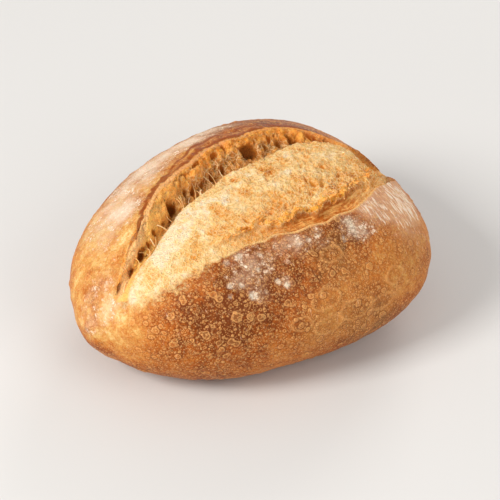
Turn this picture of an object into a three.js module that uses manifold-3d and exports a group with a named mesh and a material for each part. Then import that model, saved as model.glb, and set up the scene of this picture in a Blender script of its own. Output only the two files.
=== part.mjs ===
// A crusty oval bread roll, baked with one lengthwise score that has burst open.
//
// The roll is one piece of bread, so it is one solid. Its form is an egg-shaped, slightly squared
// dome on a flat base. On top lies the opened score, a lens-shaped tear. Its far lip, the ear,
// stands up and drops down a torn wall into a valley with open pores. The middle is a bloom of
// crumb that has swelled up again, and the near lip is a low edge of crust behind a ragged shelf.
//
// Millimetres. +Z is up, +X runs along the roll towards its wide end, and the ear is on the +Y
// side. The origin lies on the table, under the middle of the roll's outline.
//
// A place on the roll is given by x and by its turn, in degrees, round the roll's long axis. The
// turn is 0 at the top and grows towards the ear.

import * as THREE from "three";
import { ImprovedNoise } from "three/addons/math/ImprovedNoise.js";
import { mergeVertices } from "three/addons/utils/BufferGeometryUtils.js";
import Module from "manifold-3d";

// ---------------------------------------------------------------- driving dimensions

const HALF_LENGTH = 60;
const HALF_WIDTH = 48.7; // at mid length
const WIDENING = 0.22; // share by which the +X end is wider, and the -X end slimmer
const HEIGHT = 51.3; // of the unbroken dome, without the ear
const BELLY_HEIGHT = 23.2; // the widest level, and the level of the long axis
const BASE_SINK = 5; // how far the full form would reach under the table, which cuts its base flat
const SQUARENESS = 2.26; // superellipse exponent: 2 is an ellipse

// The lips of the score, as [x, turn], and their small waves, as [length, turn, phase].
const EAR_LIP = [
  [-60, -27], [-56.5, -26], [-53.5, -17], [-50, -6], [-45, 4.5], [-40, 11], [-33, 19.5],
  [-26, 25.5], [-14, 32], [0, 38], [14, 39.5], [26, 41], [34, 38.5], [40, 34], [45, 26],
  [50, 14], [55, -3], [60, -22],
];
const FRONT_LIP = [
  [-60, -23], [-56.5, -26], [-55.2, -32.5], [-53.5, -38.2], [-50.5, -41.8], [-46, -41.6],
  [-39, -40.7], [-32, -41.4], [-25, -41.8], [-18, -42.8], [-10, -45.3], [-2, -47.2], [7, -49.2],
  [16, -50.9], [24, -50.7], [30, -48.7], [38, -46.8], [48, -46.8], [54, -48.5], [57, -44],
  [60, -26],
];
const LIP_WAVES = [
  [26, 0.7, 0.4],
  [11, 0.5, 2.1],
];

// The tear's cross-section, as [x, millimetres].
const EAR_LIFT = [
  [-60, 0], [-50, 0.6], [-35, 2], [-15, 2.8], [5, 2.4], [25, 1.6], [40, 0.8], [60, 0],
];
const VALLEY_DEPTH = [
  [-60, 0], [-52, 2], [-44, 4.2], [-35, 6], [0, 7], [14, 6.4], [27, 4.6], [38, 2.6], [50, 1.2],
  [60, 0],
];
const WALL_WIDTH = [
  [-60, 1], [-50, 2.8], [-44, 4.2], [-37, 5.2], [-30, 5.8], [-18, 6.4], [0, 7.4], [12, 8.2],
  [22, 7], [32, 5], [42, 3], [60, 1],
];
const STRIP_WIDTH = 1.9; // the smooth brow between the ear's edge and its torn wall
const STRIP_FALL = 0.15; // share of the lift that is lost over the strip
const SHOULDER_WIDTH = 6.2; // from the valley's floor up to the bloom
const BLOOM_SWELL = 1;
const NOTCH = [55, -27, 17, 4.2]; // the tear's sunken wide end: x, turn, reach and depth

// The shelf behind the front lip: how much of it there is, as [x, share], and its form.
const SHELF = [
  [-60, 0], [-38, 0], [-20, 0.55], [-8, 1], [22, 1], [30, 0.6], [38, 0.25], [46, 0.1], [60, 0],
];
const BAND_WIDTH = 4.5; // of the low strip next to the lip
const BAND_EDGE = 1.1; // half the width of the step up from it
const BAND_DROP = 1.5;
const BAND_WANDER = 1.8; // how far the ledge over it wanders
const BAND_WAVE = 5; // and over which length
const HOLLOW_DEPTH = 1; // of the dip between the shelf's ridge and the bloom
const HOLLOW_AT = 9.4;
const HOLLOW_REACH = 4.6;
const FRONT_RISE = 0.9; // how far the front lip stands up
const EAR_REACH = 9; // how far behind the ear the crust still lifts
const FRONT_REACH = 5;
const LIP_TOLERANCE = 0.05; // a point this near a lip is still on its crust

// The large pores along the valley: [x, distance from the ear, reach along x, reach across, depth].
const PORES = [
  [-53, 1.2, 1.6, 1, 2],
  [-48.3, 2.6, 1.8, 1.1, 1.7],
  [-42.2, 3.6, 1.9, 1.1, 1.8],
  [-38, 3.9, 1.2, 0.8, 1.2],
  [-33, 4.3, 1, 0.7, 1],
  [-28.6, 4.5, 0.9, 0.6, 0.8],
  [-22.3, 4.8, 2.3, 1.2, 2],
  [-14.6, 4.7, 1.6, 0.9, 1.5],
  [-11.4, 5.1, 1.5, 0.9, 1.4],
  [-6, 5.2, 1, 0.7, 0.9],
  [-1.2, 5.5, 1.5, 0.8, 1.2],
  [3.6, 5.4, 1.5, 0.8, 1.2],
  [8.6, 5.3, 1.1, 0.7, 0.9],
  [15.6, 4.8, 3.6, 1.4, 2.4],
  [22.4, 4.7, 1.5, 0.8, 1.2],
  [28.4, 4.6, 1.8, 0.8, 1.2],
  [34.5, 3.8, 1.4, 0.7, 0.9],
];
const LEAST_REACH_ALONG = 1.9; // the smallest pore that the skin's grid can carry
const LEAST_REACH_ACROSS = 1;
const PORE_FLOOR = 0.35; // share of a pore's reach that is its flat floor
const INTO_WALL = [-0.6, 0.8]; // the way a pore is sunk: along the normal, and towards the ear

// The broad unevenness of the crust, as the dough was shaped: [x, turn, reach, height].
const SWELLS = [
  [-38, -75, 24, 0.9],
  [24, -82, 24, -0.8],
  [5, -60, 18, 0.7],
  [-50, 60, 24, 0.5],
  [20, 85, 30, 0.2],
  [18, 66, 12, -0.5],
  [-20, 110, 26, -0.7],
  [54, -36, 20, -1],
  [52, 28, 16, -1],
  [53, -75, 12, -0.7],
  [40, -97, 16, 0.6],
  [-8, -112, 24, -0.6],
  [-57, 158, 14, 1.8],
];

// Unevenness by noise: the wavelength and the height.
const CRUST_WAVE = 13;
const CRUST_WAVE_HEIGHT = 0.4;
const CRAG = 4.6; // size of the torn crumb's crags
const CRAG_HEIGHT = 1;
const CRAG_FREE_EDGE = 2.5; // the crags die away this near a lip
const FLAKE = 3.8; // length of the ragged flakes on the shelf's ridge
const FLAKE_HEIGHT = 2.8;
const FLAKE_WIDTH = 1.9;
const LUMP = 4.6; // size of the lumps on the torn wall
const LUMP_HEIGHT = 1.3;
const LUMP_START = [0.5, 2.4]; // the lumps grow between these distances from the ear
const LUMP_END = 2.5; // and die away over this length beyond the wall
const WALL_STRETCH = 2.2; // how much longer the steep wall is than the dome under it

// The skin's grid: panels along the roll, across its top and down its sides.
const PANELS_ALONG = 54;
const PANELS_ACROSS = 38;
const PANELS_DOWN = 14;
const COARSE = [1, 1.6]; // octaves of noise that the skin's grid can still carry
const CROWDING = 0.5; // how strongly the top's rows crowd towards the two lips
const LEAST_SPREAD = 14; // degrees that the top's panels cover on each side of a closed score
const TOP_TURN = 100; // nothing beyond this turn belongs to the score

const CRUST_COLOR = 0xc4813f;
const CRUST_ROUGHNESS = 0.72;

// ---------------------------------------------------------------- small helpers

const { clamp, degToRad, radToDeg, smoothstep } = THREE.MathUtils;
const noise = new ImprovedNoise();

/** A bell of height 1 at distance 0 that falls to 0 at the distance 1. */
function bell(distance) {
  return Math.max(0, 1 - distance * distance) ** 2;
}

/** The height of a soft round patch, given as x, turn, reach and height, at a place. */
function patchHeight([patchX, patchTurn, reach, height], x, turn, radius) {
  const apart = THREE.MathUtils.euclideanModulo(turn - patchTurn + 180, 360) - 180;
  return height * bell(Math.hypot(x - patchX, degToRad(apart) * radius) / reach);
}

/** The value at x of the smooth curve through [x, value] stations. */
function along(stations, x) {
  const last = stations.length - 1;
  const at = clamp(x, stations[0][0], stations[last][0]);
  const next = clamp(stations.findIndex((station) => station[0] >= at), 1, last);
  const slope = (i) => {
    const before = stations[Math.max(0, i - 1)];
    const after = stations[Math.min(last, i + 1)];
    return (after[1] - before[1]) / (after[0] - before[0]);
  };
  const [from, to] = [stations[next - 1], stations[next]];
  const span = to[0] - from[0];
  const t = (at - from[0]) / span;
  const share = t * t * (3 - 2 * t);
  const leave = t * (1 - t) ** 2 * span * slope(next - 1);
  const arrive = t * t * (t - 1) * span * slope(next);
  return from[1] + (to[1] - from[1]) * share + leave + arrive;
}

/** Smooth noise of some octaves, about -1 to 1. */
function rolling(point, wavelength, octaves = [1, 2, 4]) {
  let sum = 0;
  for (const octave of octaves) {
    const p = point.clone().multiplyScalar(octave / wavelength);
    sum += noise.noise(p.x, p.y, p.z) / octave;
  }
  return sum;
}

/** Noise with sharp crests, about -0.5 to 0.5, as torn crumb has. */
function ridged(point, wavelength) {
  const p = point.clone().divideScalar(wavelength);
  return (1 - 2.2 * Math.abs(noise.noise(p.x, p.y, p.z))) ** 2 - 0.5;
}

// ---------------------------------------------------------------- the dome and its score

/** The turns of the ear and of the front lip at x. */
function lipTurns(x) {
  const waves = LIP_WAVES.map(
    ([length, turn, phase]) => turn * Math.sin((2 * Math.PI * x) / length + phase),
  );
  const wander = waves.reduce((sum, wave) => sum + wave, 0) * bell(x / HALF_LENGTH);
  return { ear: along(EAR_LIP, x) + wander, front: along(FRONT_LIP, x) - wander };
}

/** The unbroken dome's point and outward normal at x and a turn. */
function domeAt(x, turn) {
  const k = SQUARENESS;
  const share = clamp(x / HALF_LENGTH, -1, 1);
  const width = HALF_WIDTH * (1 + WIDENING * share);
  const [across, up] = [Math.sin(degToRad(turn)), Math.cos(degToRad(turn))];
  const rise = up > 0 ? HEIGHT - BELLY_HEIGHT : BELLY_HEIGHT + BASE_SINK;
  const left = 1 - Math.abs(share) ** k;
  const radius = (left / (Math.abs(across / width) ** k + Math.abs(up / rise) ** k)) ** (1 / k);
  const lean = (v, half) => (Math.sign(v) * Math.abs(v / half) ** (k - 1)) / half;
  return {
    point: new THREE.Vector3(x, radius * across, BELLY_HEIGHT + radius * up),
    normal: new THREE.Vector3(
      lean(x, HALF_LENGTH),
      lean(radius * across, width),
      lean(radius * up, rise),
    ).normalize(),
    radius,
  };
}

/** The distance from the ragged ledge over the band, which grows towards the front lip. */
function insideLedge(point, fromFront) {
  return BAND_WIDTH + BAND_WANDER * rolling(point, BAND_WAVE) - fromFront;
}

/** How far the shelf behind the front lip lies under the bloom. */
function shelfDepth(point, fromFront) {
  const band = BAND_DROP * smoothstep(insideLedge(point, fromFront), -BAND_EDGE, BAND_EDGE);
  const hollow = HOLLOW_DEPTH * bell((fromFront - HOLLOW_AT) / HOLLOW_REACH);
  return along(SHELF, point.x) * (band + hollow);
}

/** The height of the torn surface between the lips, at distances from them over the skin. */
function tearHeight(point, fromEar, fromFront) {
  const width = fromEar + fromFront;
  const lift = along(EAR_LIFT, point.x);
  const depth = along(VALLEY_DEPTH, point.x);
  const wall = Math.min(along(WALL_WIDTH, point.x), 0.34 * width);
  const strip = Math.min(STRIP_WIDTH, 0.3 * wall);
  if (fromEar < wall) {
    const brow = lift * (1 - STRIP_FALL * clamp(fromEar / strip, 0, 1));
    return brow - (brow + depth) * smoothstep(fromEar, strip, wall);
  }
  const shoulder = Math.min(SHOULDER_WIDTH, 0.3 * width);
  const share = clamp((fromEar - wall - shoulder) / (width - wall - shoulder), 0, 1);
  const bloom = BLOOM_SWELL * Math.sin(Math.PI * share) - shelfDepth(point, fromFront);
  return (bloom + depth) * smoothstep(fromEar, wall, wall + shoulder) - depth;
}

/** How far the pores sink the torn surface. */
function poreDepth(x, fromEar) {
  const depths = PORES.map(([poreX, poreFromEar, reachX, reachAcross, depth]) => {
    const lengthwise = (x - poreX) / Math.max(reachX, LEAST_REACH_ALONG);
    const across = (fromEar - poreFromEar) / Math.max(reachAcross, LEAST_REACH_ACROSS);
    const away = Math.hypot(lengthwise, across);
    return depth * (1 - smoothstep(away, PORE_FLOOR, 1));
  });
  return Math.max(...depths);
}

/** How far the lumps of the torn wall stand out of it. */
function wallLumps(x, fromEar) {
  const wall = along(WALL_WIDTH, x);
  const end = 1 - smoothstep(fromEar, wall, wall + LUMP_END);
  const down = WALL_STRETCH * fromEar;
  const lumps = LUMP_HEIGHT * rolling(new THREE.Vector3(x, down, 0), LUMP, COARSE);
  return smoothstep(fromEar, ...LUMP_START) * end * lumps;
}

/** The crags of the crumb and the ragged flakes of the shelf. */
function tornRoughness(point, fromEar, fromFront) {
  const free = smoothstep(Math.min(fromEar, fromFront), 0, CRAG_FREE_EDGE);
  const inside = insideLedge(point, fromFront);
  const onBand = along(SHELF, point.x) * smoothstep(inside, 0, 1.5);
  const crag = CRAG_HEIGHT * ridged(point, CRAG) * free * (1 - 0.7 * onBand);
  const onRidge = along(SHELF, point.x) * bell(inside / FLAKE_WIDTH + 0.6);
  return crag + FLAKE_HEIGHT * onRidge * (rolling(point, FLAKE, COARSE) + 0.15);
}

/** The height of the crust's broad swells. */
function swellHeight(x, turn, radius) {
  const heights = SWELLS.map((swell) => patchHeight(swell, x, turn, radius));
  return heights.reduce((sum, height) => sum + height, 0);
}

/** The point of the finished skin over a point of the dome, at x and a turn. */
function skinPoint(x, turn) {
  const { point, normal, radius } = domeAt(x, turn);
  const swell = swellHeight(x, turn, radius);
  const wave = CRUST_WAVE_HEIGHT * rolling(point, CRUST_WAVE);
  if (Math.abs(turn) > TOP_TURN) return point.addScaledVector(normal, swell + wave);
  const lips = lipTurns(x);
  const fromEar = degToRad(lips.ear - turn) * radius;
  const fromFront = degToRad(turn - lips.front) * radius;
  const width = fromEar + fromFront;
  const open = smoothstep(width, 1.5, 12);
  const gap = Math.min(fromEar, fromFront);
  if (gap > LIP_TOLERANCE) {
    const torn =
      tearHeight(point, fromEar, fromFront) +
      tornRoughness(point, fromEar, fromFront) -
      patchHeight(NOTCH, x, turn, radius);
    const pore = poreDepth(x, fromEar) * smoothstep(width, 0.5, 2.5) * smoothstep(gap, 0, 0.6);
    const sunk = pore - open * wallLumps(x, fromEar);
    const towardsEar = new THREE.Vector3(0, Math.cos(degToRad(turn)), -Math.sin(degToRad(turn)));
    return point
      .addScaledVector(normal, swell + open * torn + INTO_WALL[0] * sunk)
      .addScaledVector(towardsEar, INTO_WALL[1] * sunk);
  }
  const ear = along(EAR_LIFT, x) * Math.exp(-((fromEar / EAR_REACH) ** 2));
  const front = FRONT_RISE * Math.exp(-((fromFront / FRONT_REACH) ** 2));
  return point.addScaledVector(normal, swell + wave + open * (fromEar < fromFront ? ear : front));
}

// ---------------------------------------------------------------- the skin and the flat base

/** A point of a cube's skin, -1 to 1, as a direction with the panels spread evenly over a ball. */
function direction(cube) {
  const [x, y, z] = cube.toArray().map((v) => Math.tan((v * Math.PI) / 4));
  const [xx, yy, zz] = [x * x, y * y, z * z];
  return new THREE.Vector3(
    x * Math.sqrt(1 - yy / 2 - zz / 2 + (yy * zz) / 3),
    y * Math.sqrt(1 - xx / 2 - zz / 2 + (xx * zz) / 3),
    z * Math.sqrt(1 - xx / 2 - yy / 2 + (xx * yy) / 3),
  ).normalize();
}

/** Spreads turns so that the cube's top, -45 to 45 degrees, covers the tear from lip to lip. */
function spreadTurn(turn, x) {
  const { ear, front } = lipTurns(x);
  const middle = (ear + front) / 2;
  const high = Math.max(ear, middle + LEAST_SPREAD);
  const low = Math.min(front, middle - LEAST_SPREAD);
  if (turn > 45) return THREE.MathUtils.mapLinear(turn, 45, 180, high, 180);
  if (turn < -45) return THREE.MathUtils.mapLinear(turn, -180, -45, -180, low);
  const share = (turn + 45) / 90;
  const crowded = (1 - Math.cos(Math.PI * share)) / 2;
  return THREE.MathUtils.lerp(low, high, THREE.MathUtils.lerp(share, crowded, CROWDING));
}

/** The whole skin of the roll, before the table cuts its base flat. */
function skinGeometry() {
  const box = new THREE.BoxGeometry(2, 2, 2, PANELS_ALONG, PANELS_ACROSS, PANELS_DOWN);
  box.deleteAttribute("normal");
  box.deleteAttribute("uv");
  const skin = mergeVertices(box, 1e-5);
  const places = skin.getAttribute("position");
  const cube = new THREE.Vector3();
  for (let i = 0; i < places.count; i++) {
    const dir = direction(cube.fromBufferAttribute(places, i));
    const x = HALF_LENGTH * dir.x;
    const turn = spreadTurn(radToDeg(Math.atan2(dir.y, dir.z)), x);
    places.setXYZ(i, ...skinPoint(x, turn).toArray());
  }
  return skin;
}

const wasm = await Module();
wasm.setup();

/** A closed mesh with merged vertices as a manifold-3d solid. */
function solidOf(geometry) {
  const mesh = new wasm.Mesh({
    numProp: 3,
    vertProperties: new Float32Array(geometry.getAttribute("position").array),
    triVerts: new Uint32Array(geometry.index.array),
  });
  return new wasm.Manifold(mesh);
}

/** A manifold-3d solid as a geometry that three.js draws. */
function geometryOf(solid) {
  const mesh = solid.getMesh();
  const positions = new Float32Array(mesh.numVert * 3);
  for (let i = 0; i < mesh.numVert; i++) {
    const start = i * mesh.numProp;
    positions.set(mesh.vertProperties.subarray(start, start + 3), i * 3);
  }
  const geometry = new THREE.BufferGeometry();
  geometry.setAttribute("position", new THREE.BufferAttribute(positions, 3));
  return geometry.setIndex(new THREE.BufferAttribute(mesh.triVerts, 1));
}

/** The roll, with its base cut flat at the table and the origin under its middle. */
function rollGeometry() {
  const table = new THREE.BoxGeometry(4 * HALF_LENGTH, 4 * HALF_WIDTH, HEIGHT);
  table.translate(0, 0, -HEIGHT / 2);
  table.deleteAttribute("normal");
  table.deleteAttribute("uv");
  const geometry = geometryOf(solidOf(skinGeometry()).subtract(solidOf(mergeVertices(table))));
  geometry.computeBoundingBox();
  const middle = geometry.boundingBox.getCenter(new THREE.Vector3());
  geometry.translate(-middle.x, -middle.y, 0);
  geometry.computeVertexNormals();
  return geometry;
}

// ---------------------------------------------------------------- the part

const crust = new THREE.MeshStandardMaterial({
  color: CRUST_COLOR,
  roughness: CRUST_ROUGHNESS,
  metalness: 0,
});
const roll = new THREE.Mesh(rollGeometry(), crust);
roll.name = "bread_roll";

const part = new THREE.Group();
part.add(roll);

export default part;
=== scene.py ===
"""A crusty bread roll with one burst score, on a pale floor in soft studio light.

The roll is one piece of bread: a closed skin, pushed out of a cube, that carries the opened score,
the pores and the blisters as relief. Fine shreds of torn crumb stand on the opened score. Lengths
are in millimetres until the points are written to a mesh, in metres.

A place on the roll is given by x and by its turn, in degrees, round the roll's long axis. The turn
is 0 at the top and grows towards the ear, the score's raised lip.
"""

from __future__ import annotations

import logging
import math
from collections.abc import Callable, Sequence
from dataclasses import dataclass, field, fields
from enum import Enum
from typing import TypeVar

import bmesh
import bpy
import numpy as np
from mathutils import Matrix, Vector, noise
from mathutils.kdtree import KDTree

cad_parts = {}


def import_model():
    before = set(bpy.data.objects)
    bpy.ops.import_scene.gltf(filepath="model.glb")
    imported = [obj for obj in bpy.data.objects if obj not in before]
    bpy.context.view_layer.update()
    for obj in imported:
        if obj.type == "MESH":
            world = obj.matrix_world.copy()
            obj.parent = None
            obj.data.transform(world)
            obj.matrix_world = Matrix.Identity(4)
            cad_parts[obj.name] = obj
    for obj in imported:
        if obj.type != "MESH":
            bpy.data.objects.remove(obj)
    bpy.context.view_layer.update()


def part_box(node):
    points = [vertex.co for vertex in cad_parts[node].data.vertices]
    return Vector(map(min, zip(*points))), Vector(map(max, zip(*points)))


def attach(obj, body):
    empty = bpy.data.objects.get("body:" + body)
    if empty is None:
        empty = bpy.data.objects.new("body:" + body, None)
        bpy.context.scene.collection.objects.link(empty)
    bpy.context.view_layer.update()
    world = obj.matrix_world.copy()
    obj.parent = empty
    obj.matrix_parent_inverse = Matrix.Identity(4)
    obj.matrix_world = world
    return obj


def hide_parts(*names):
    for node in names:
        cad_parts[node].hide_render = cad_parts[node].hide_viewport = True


LOG = logging.getLogger("bread_roll")
NODE = "bread_roll"
BODY = "root"
MM = 0.001  # metres in a millimetre
TINY = 1e-6
LEAST_EDGE = 0.5  # an uncut edge along an axis of a new cube or cylinder is longer
MIX_VALUES = (2, 3)  # a mix node's two inputs for values
MIX_COLOURS = (6, 7)  # its two inputs for colours, which have the same names
MIXED_COLOUR = 2  # its output for a colour

Thing = TypeVar("Thing")
Array = np.ndarray
Span = tuple[float, float]
Triple = tuple[float, float, float]
Colour = tuple[float, float, float, float]
Band = tuple[Span, Span]  # a rise and a fall
Curve = tuple[tuple[float, float], ...]  # pairs of x and value, in rising x
Run = tuple[tuple[float, str], ...]  # pairs of place and colour code


class Mask(Enum):
    """The weights that the roll's mesh hands to its finish, one value for each point."""

    CRUMB = "crumb"
    TOAST = "toast"
    BAKE = "bake"
    FLOUR = "flour"
    STREAK = "streak"
    PORE = "pore"
    RIM = "rim"
    EDGE = "edge"
    BAND = "band"
    BROW = "brow"
    BLISTER = "blister"
    WRINKLE = "wrinkle"
    RELIEF = "relief"
    FROM_EAR = "from_ear"
    FROM_LIP = "from_lip"
    LEDGE = "ledge"
    CLUMP = "clump"
    # painted light: where the torn wall at the narrow end is painted lighter
    TIP = "tip"
    OCHRE = "ochre"


class Grain(Enum):
    """The kinds of solid noise that the relief is made of."""

    SMOOTH = "smooth"
    ROLLING = "rolling"
    RIDGED = "ridged"
    CELLS = "cells"


# ---------------------------------------------------------------- shaping functions


def smoothstep(value: Array, low: float | Array, high: float | Array) -> Array:
    """Rises smoothly from 0 to 1.

    Args:
        value: The values to judge.
        low: Where the rise starts.
        high: Where the rise ends.

    Returns:
        One value from 0 to 1 for each value.
    """
    share = np.clip((value - low) / np.maximum(high - low, TINY), 0.0, 1.0)
    return share * share * (3.0 - 2.0 * share)


def bell(distance: Array) -> Array:
    """A bell of height 1 at distance 0 that falls to 0 at the distance 1."""
    return np.clip(1.0 - distance * distance, 0.0, None) ** 2


def along(stations: Curve, x: Array) -> Array:
    """Reads the smooth curve through stations.

    Args:
        stations: Pairs of x and value, in rising x.
        x: Where to read the curve.

    Returns:
        The curve's value at each x, held level past the ends.
    """
    xs, values = np.array(stations).T
    before = np.maximum(np.arange(len(xs)) - 1, 0)
    after = np.minimum(np.arange(len(xs)) + 1, len(xs) - 1)
    slopes = (values[after] - values[before]) / (xs[after] - xs[before])
    at = np.clip(x, xs[0], xs[-1])
    i = np.clip(np.searchsorted(xs, at) - 1, 0, len(xs) - 2)
    span = xs[i + 1] - xs[i]
    t = (at - xs[i]) / span
    share = t * t * (3.0 - 2.0 * t)
    leave = t * (1.0 - t) ** 2 * span * slopes[i]
    arrive = t * t * (t - 1.0) * span * slopes[i + 1]
    return values[i] + (values[i + 1] - values[i]) * share + leave + arrive


def within(span: Span, share: Array | float) -> Array | float:
    """The value at a share of the way from a span's first value to its second."""
    low, high = span
    return low + (high - low) * share


# ---------------------------------------------------------------- solid noise


SEED_STEP = np.array((17.3, 5.9, 11.1))
FRACTAL = (0.9, 2.0, 3)  # the octaves' fall, their step in size and their number
SHARPNESS = 2.2


def rolling(point: Sequence[float]) -> float:
    """Noise with finer octaves in it, about -1 to 1."""
    return noise.fractal(point, *FRACTAL)


def ridge(point: Sequence[float]) -> float:
    """The nearness of the line where noise is 0: 1 on it, 0 away from it."""
    return (1.0 - min(1.0, SHARPNESS * abs(noise.noise(point)))) ** 2


def cell_wall(point: Sequence[float]) -> float:
    """The nearness of the wall between two cells of a foam: 1 on it, 0 in a cell's middle."""
    nearest, second = noise.voronoi(point)[0][:2]
    return max(0.0, 1.0 - SHARPNESS * (second - nearest))


@dataclass(frozen=True)
class Noise:
    """A layer of solid noise: its height and wavelength in millimetres, and its kind.

    The seed shifts the noise, so that layers differ. The level is what counts as height 0.
    """

    height: float
    wavelength: float | Triple
    grain: Grain = Grain.SMOOTH
    seed: float = 0.0
    level: float = 0.0

    def at(self, points: Array) -> Array:
        """Reads the noise at points.

        Args:
            points: Points in millimetres, one row each.

        Returns:
            One height for each point.
        """
        samples: dict[Grain, Callable[[Sequence[float]], float]] = {
            Grain.SMOOTH: noise.noise,
            Grain.ROLLING: rolling,
            Grain.RIDGED: ridge,
            Grain.CELLS: cell_wall,
        }
        sample = samples[self.grain]
        scaled = points / np.array(self.wavelength) + self.seed * SEED_STEP
        values = np.fromiter((sample(point) for point in scaled.tolist()), float, len(scaled))
        return self.height * (values - self.level)


# ---------------------------------------------------------------- the roll's form


def each(kind: Callable[..., Thing], *rows: tuple[float, ...]) -> tuple[Thing, ...]:
    """Makes one thing of a kind from each row of its values, in the order of its fields."""
    return tuple(kind(*row) for row in rows)


@dataclass(frozen=True)
class Spot:
    """A soft round patch on the roll's skin."""

    x: float
    turn: float
    reach: float
    amount: float


@dataclass(frozen=True)
class Place:
    """Points on the unbroken dome, and where they lie."""

    x: Array
    turn: Array
    points: Array
    normals: Array
    radius: Array

    @property
    def around(self) -> Array:
        """The direction in which the turn grows, one row for each point."""
        turn = np.radians(self.turn)
        return np.stack([np.zeros_like(turn), np.cos(turn), -np.sin(turn)], axis=1)

    def away_from(self, x: float, turn: float) -> tuple[Array, Array]:
        """Distances from one place over the skin, along the roll and round it."""
        apart = np.mod(self.turn - turn + 180.0, 360.0) - 180.0
        return self.x - x, np.radians(apart) * self.radius

    def cover(self, patches: Sequence[Spot]) -> Array:
        """Adds up soft patches.

        Args:
            patches: The patches.

        Returns:
            Their summed amount at each point.
        """
        total = np.zeros_like(self.x)
        for spot in patches:
            lengthwise, round_about = self.away_from(spot.x, spot.turn)
            total += spot.amount * bell(np.hypot(lengthwise, round_about) / spot.reach)
        return total


@dataclass(frozen=True)
class LippedPlace(Place):
    """Points with their distances over the skin from both lips, which grow into the tear."""

    from_ear: Array
    from_front: Array

    def pick(self, chosen: Array) -> LippedPlace:
        """The points for which the choice is true."""
        return LippedPlace(*(getattr(self, part.name)[chosen] for part in fields(self)))


@dataclass(frozen=True)
class Dome:
    """The unbroken roll: a slightly squared egg on a flat base, in millimetres."""

    half_length: float = 60.0
    half_width: float = 48.7
    widening: float = 0.22
    height: float = 51.3
    belly_height: float = 23.2
    base_sink: float = 5.0
    squareness: float = 2.26
    base_rounding: float = 0.5

    def skin(self, x: Array, turn: Array) -> Place:
        """Finds points of the dome.

        Args:
            x: Places along the roll.
            turn: Turns round the long axis, in degrees.

        Returns:
            The points with their outward normals and their distance from the long axis.
        """
        k = self.squareness
        share = np.clip(x / self.half_length, -1.0, 1.0)
        width = self.half_width * (1.0 + self.widening * share)
        across, up = np.sin(np.radians(turn)), np.cos(np.radians(turn))
        above = self.height - self.belly_height
        below = self.belly_height + self.base_sink
        rise = np.where(up > 0.0, above, below)
        left = 1.0 - np.abs(share) ** k
        spread = np.abs(across / width) ** k + np.abs(up / rise) ** k
        radius = (left / spread) ** (1.0 / k)
        y, z = radius * across, radius * up
        lean = [
            np.sign(value) * np.abs(value / half) ** (k - 1.0) / half
            for value, half in ((x, self.half_length), (y, width), (z, rise))
        ]
        normals = np.stack(lean, axis=1)
        normals /= np.linalg.norm(normals, axis=1, keepdims=True)
        points = np.stack([x, y, z + self.belly_height], axis=1)
        return Place(x, turn, points, normals, radius)

    def rest_flat(self, points: Array) -> Array:
        """Flattens what would reach under the table, with a small rounding at the rim.

        Args:
            points: Points of the roll, in millimetres.

        Returns:
            The points with none under the table.
        """
        z, w = points[:, 2], self.base_rounding
        rounded = (z + w) ** 2 / (4.0 * w)
        flat = np.where(z > w, z, np.where(z < -w, 0.0, rounded))
        return np.stack([points[:, 0], points[:, 1], flat], axis=1)


@dataclass(frozen=True)
class Pore:
    """A large pore that the tear has opened."""

    x: float
    from_ear: float
    reach_x: float
    reach_across: float
    depth: float


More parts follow.
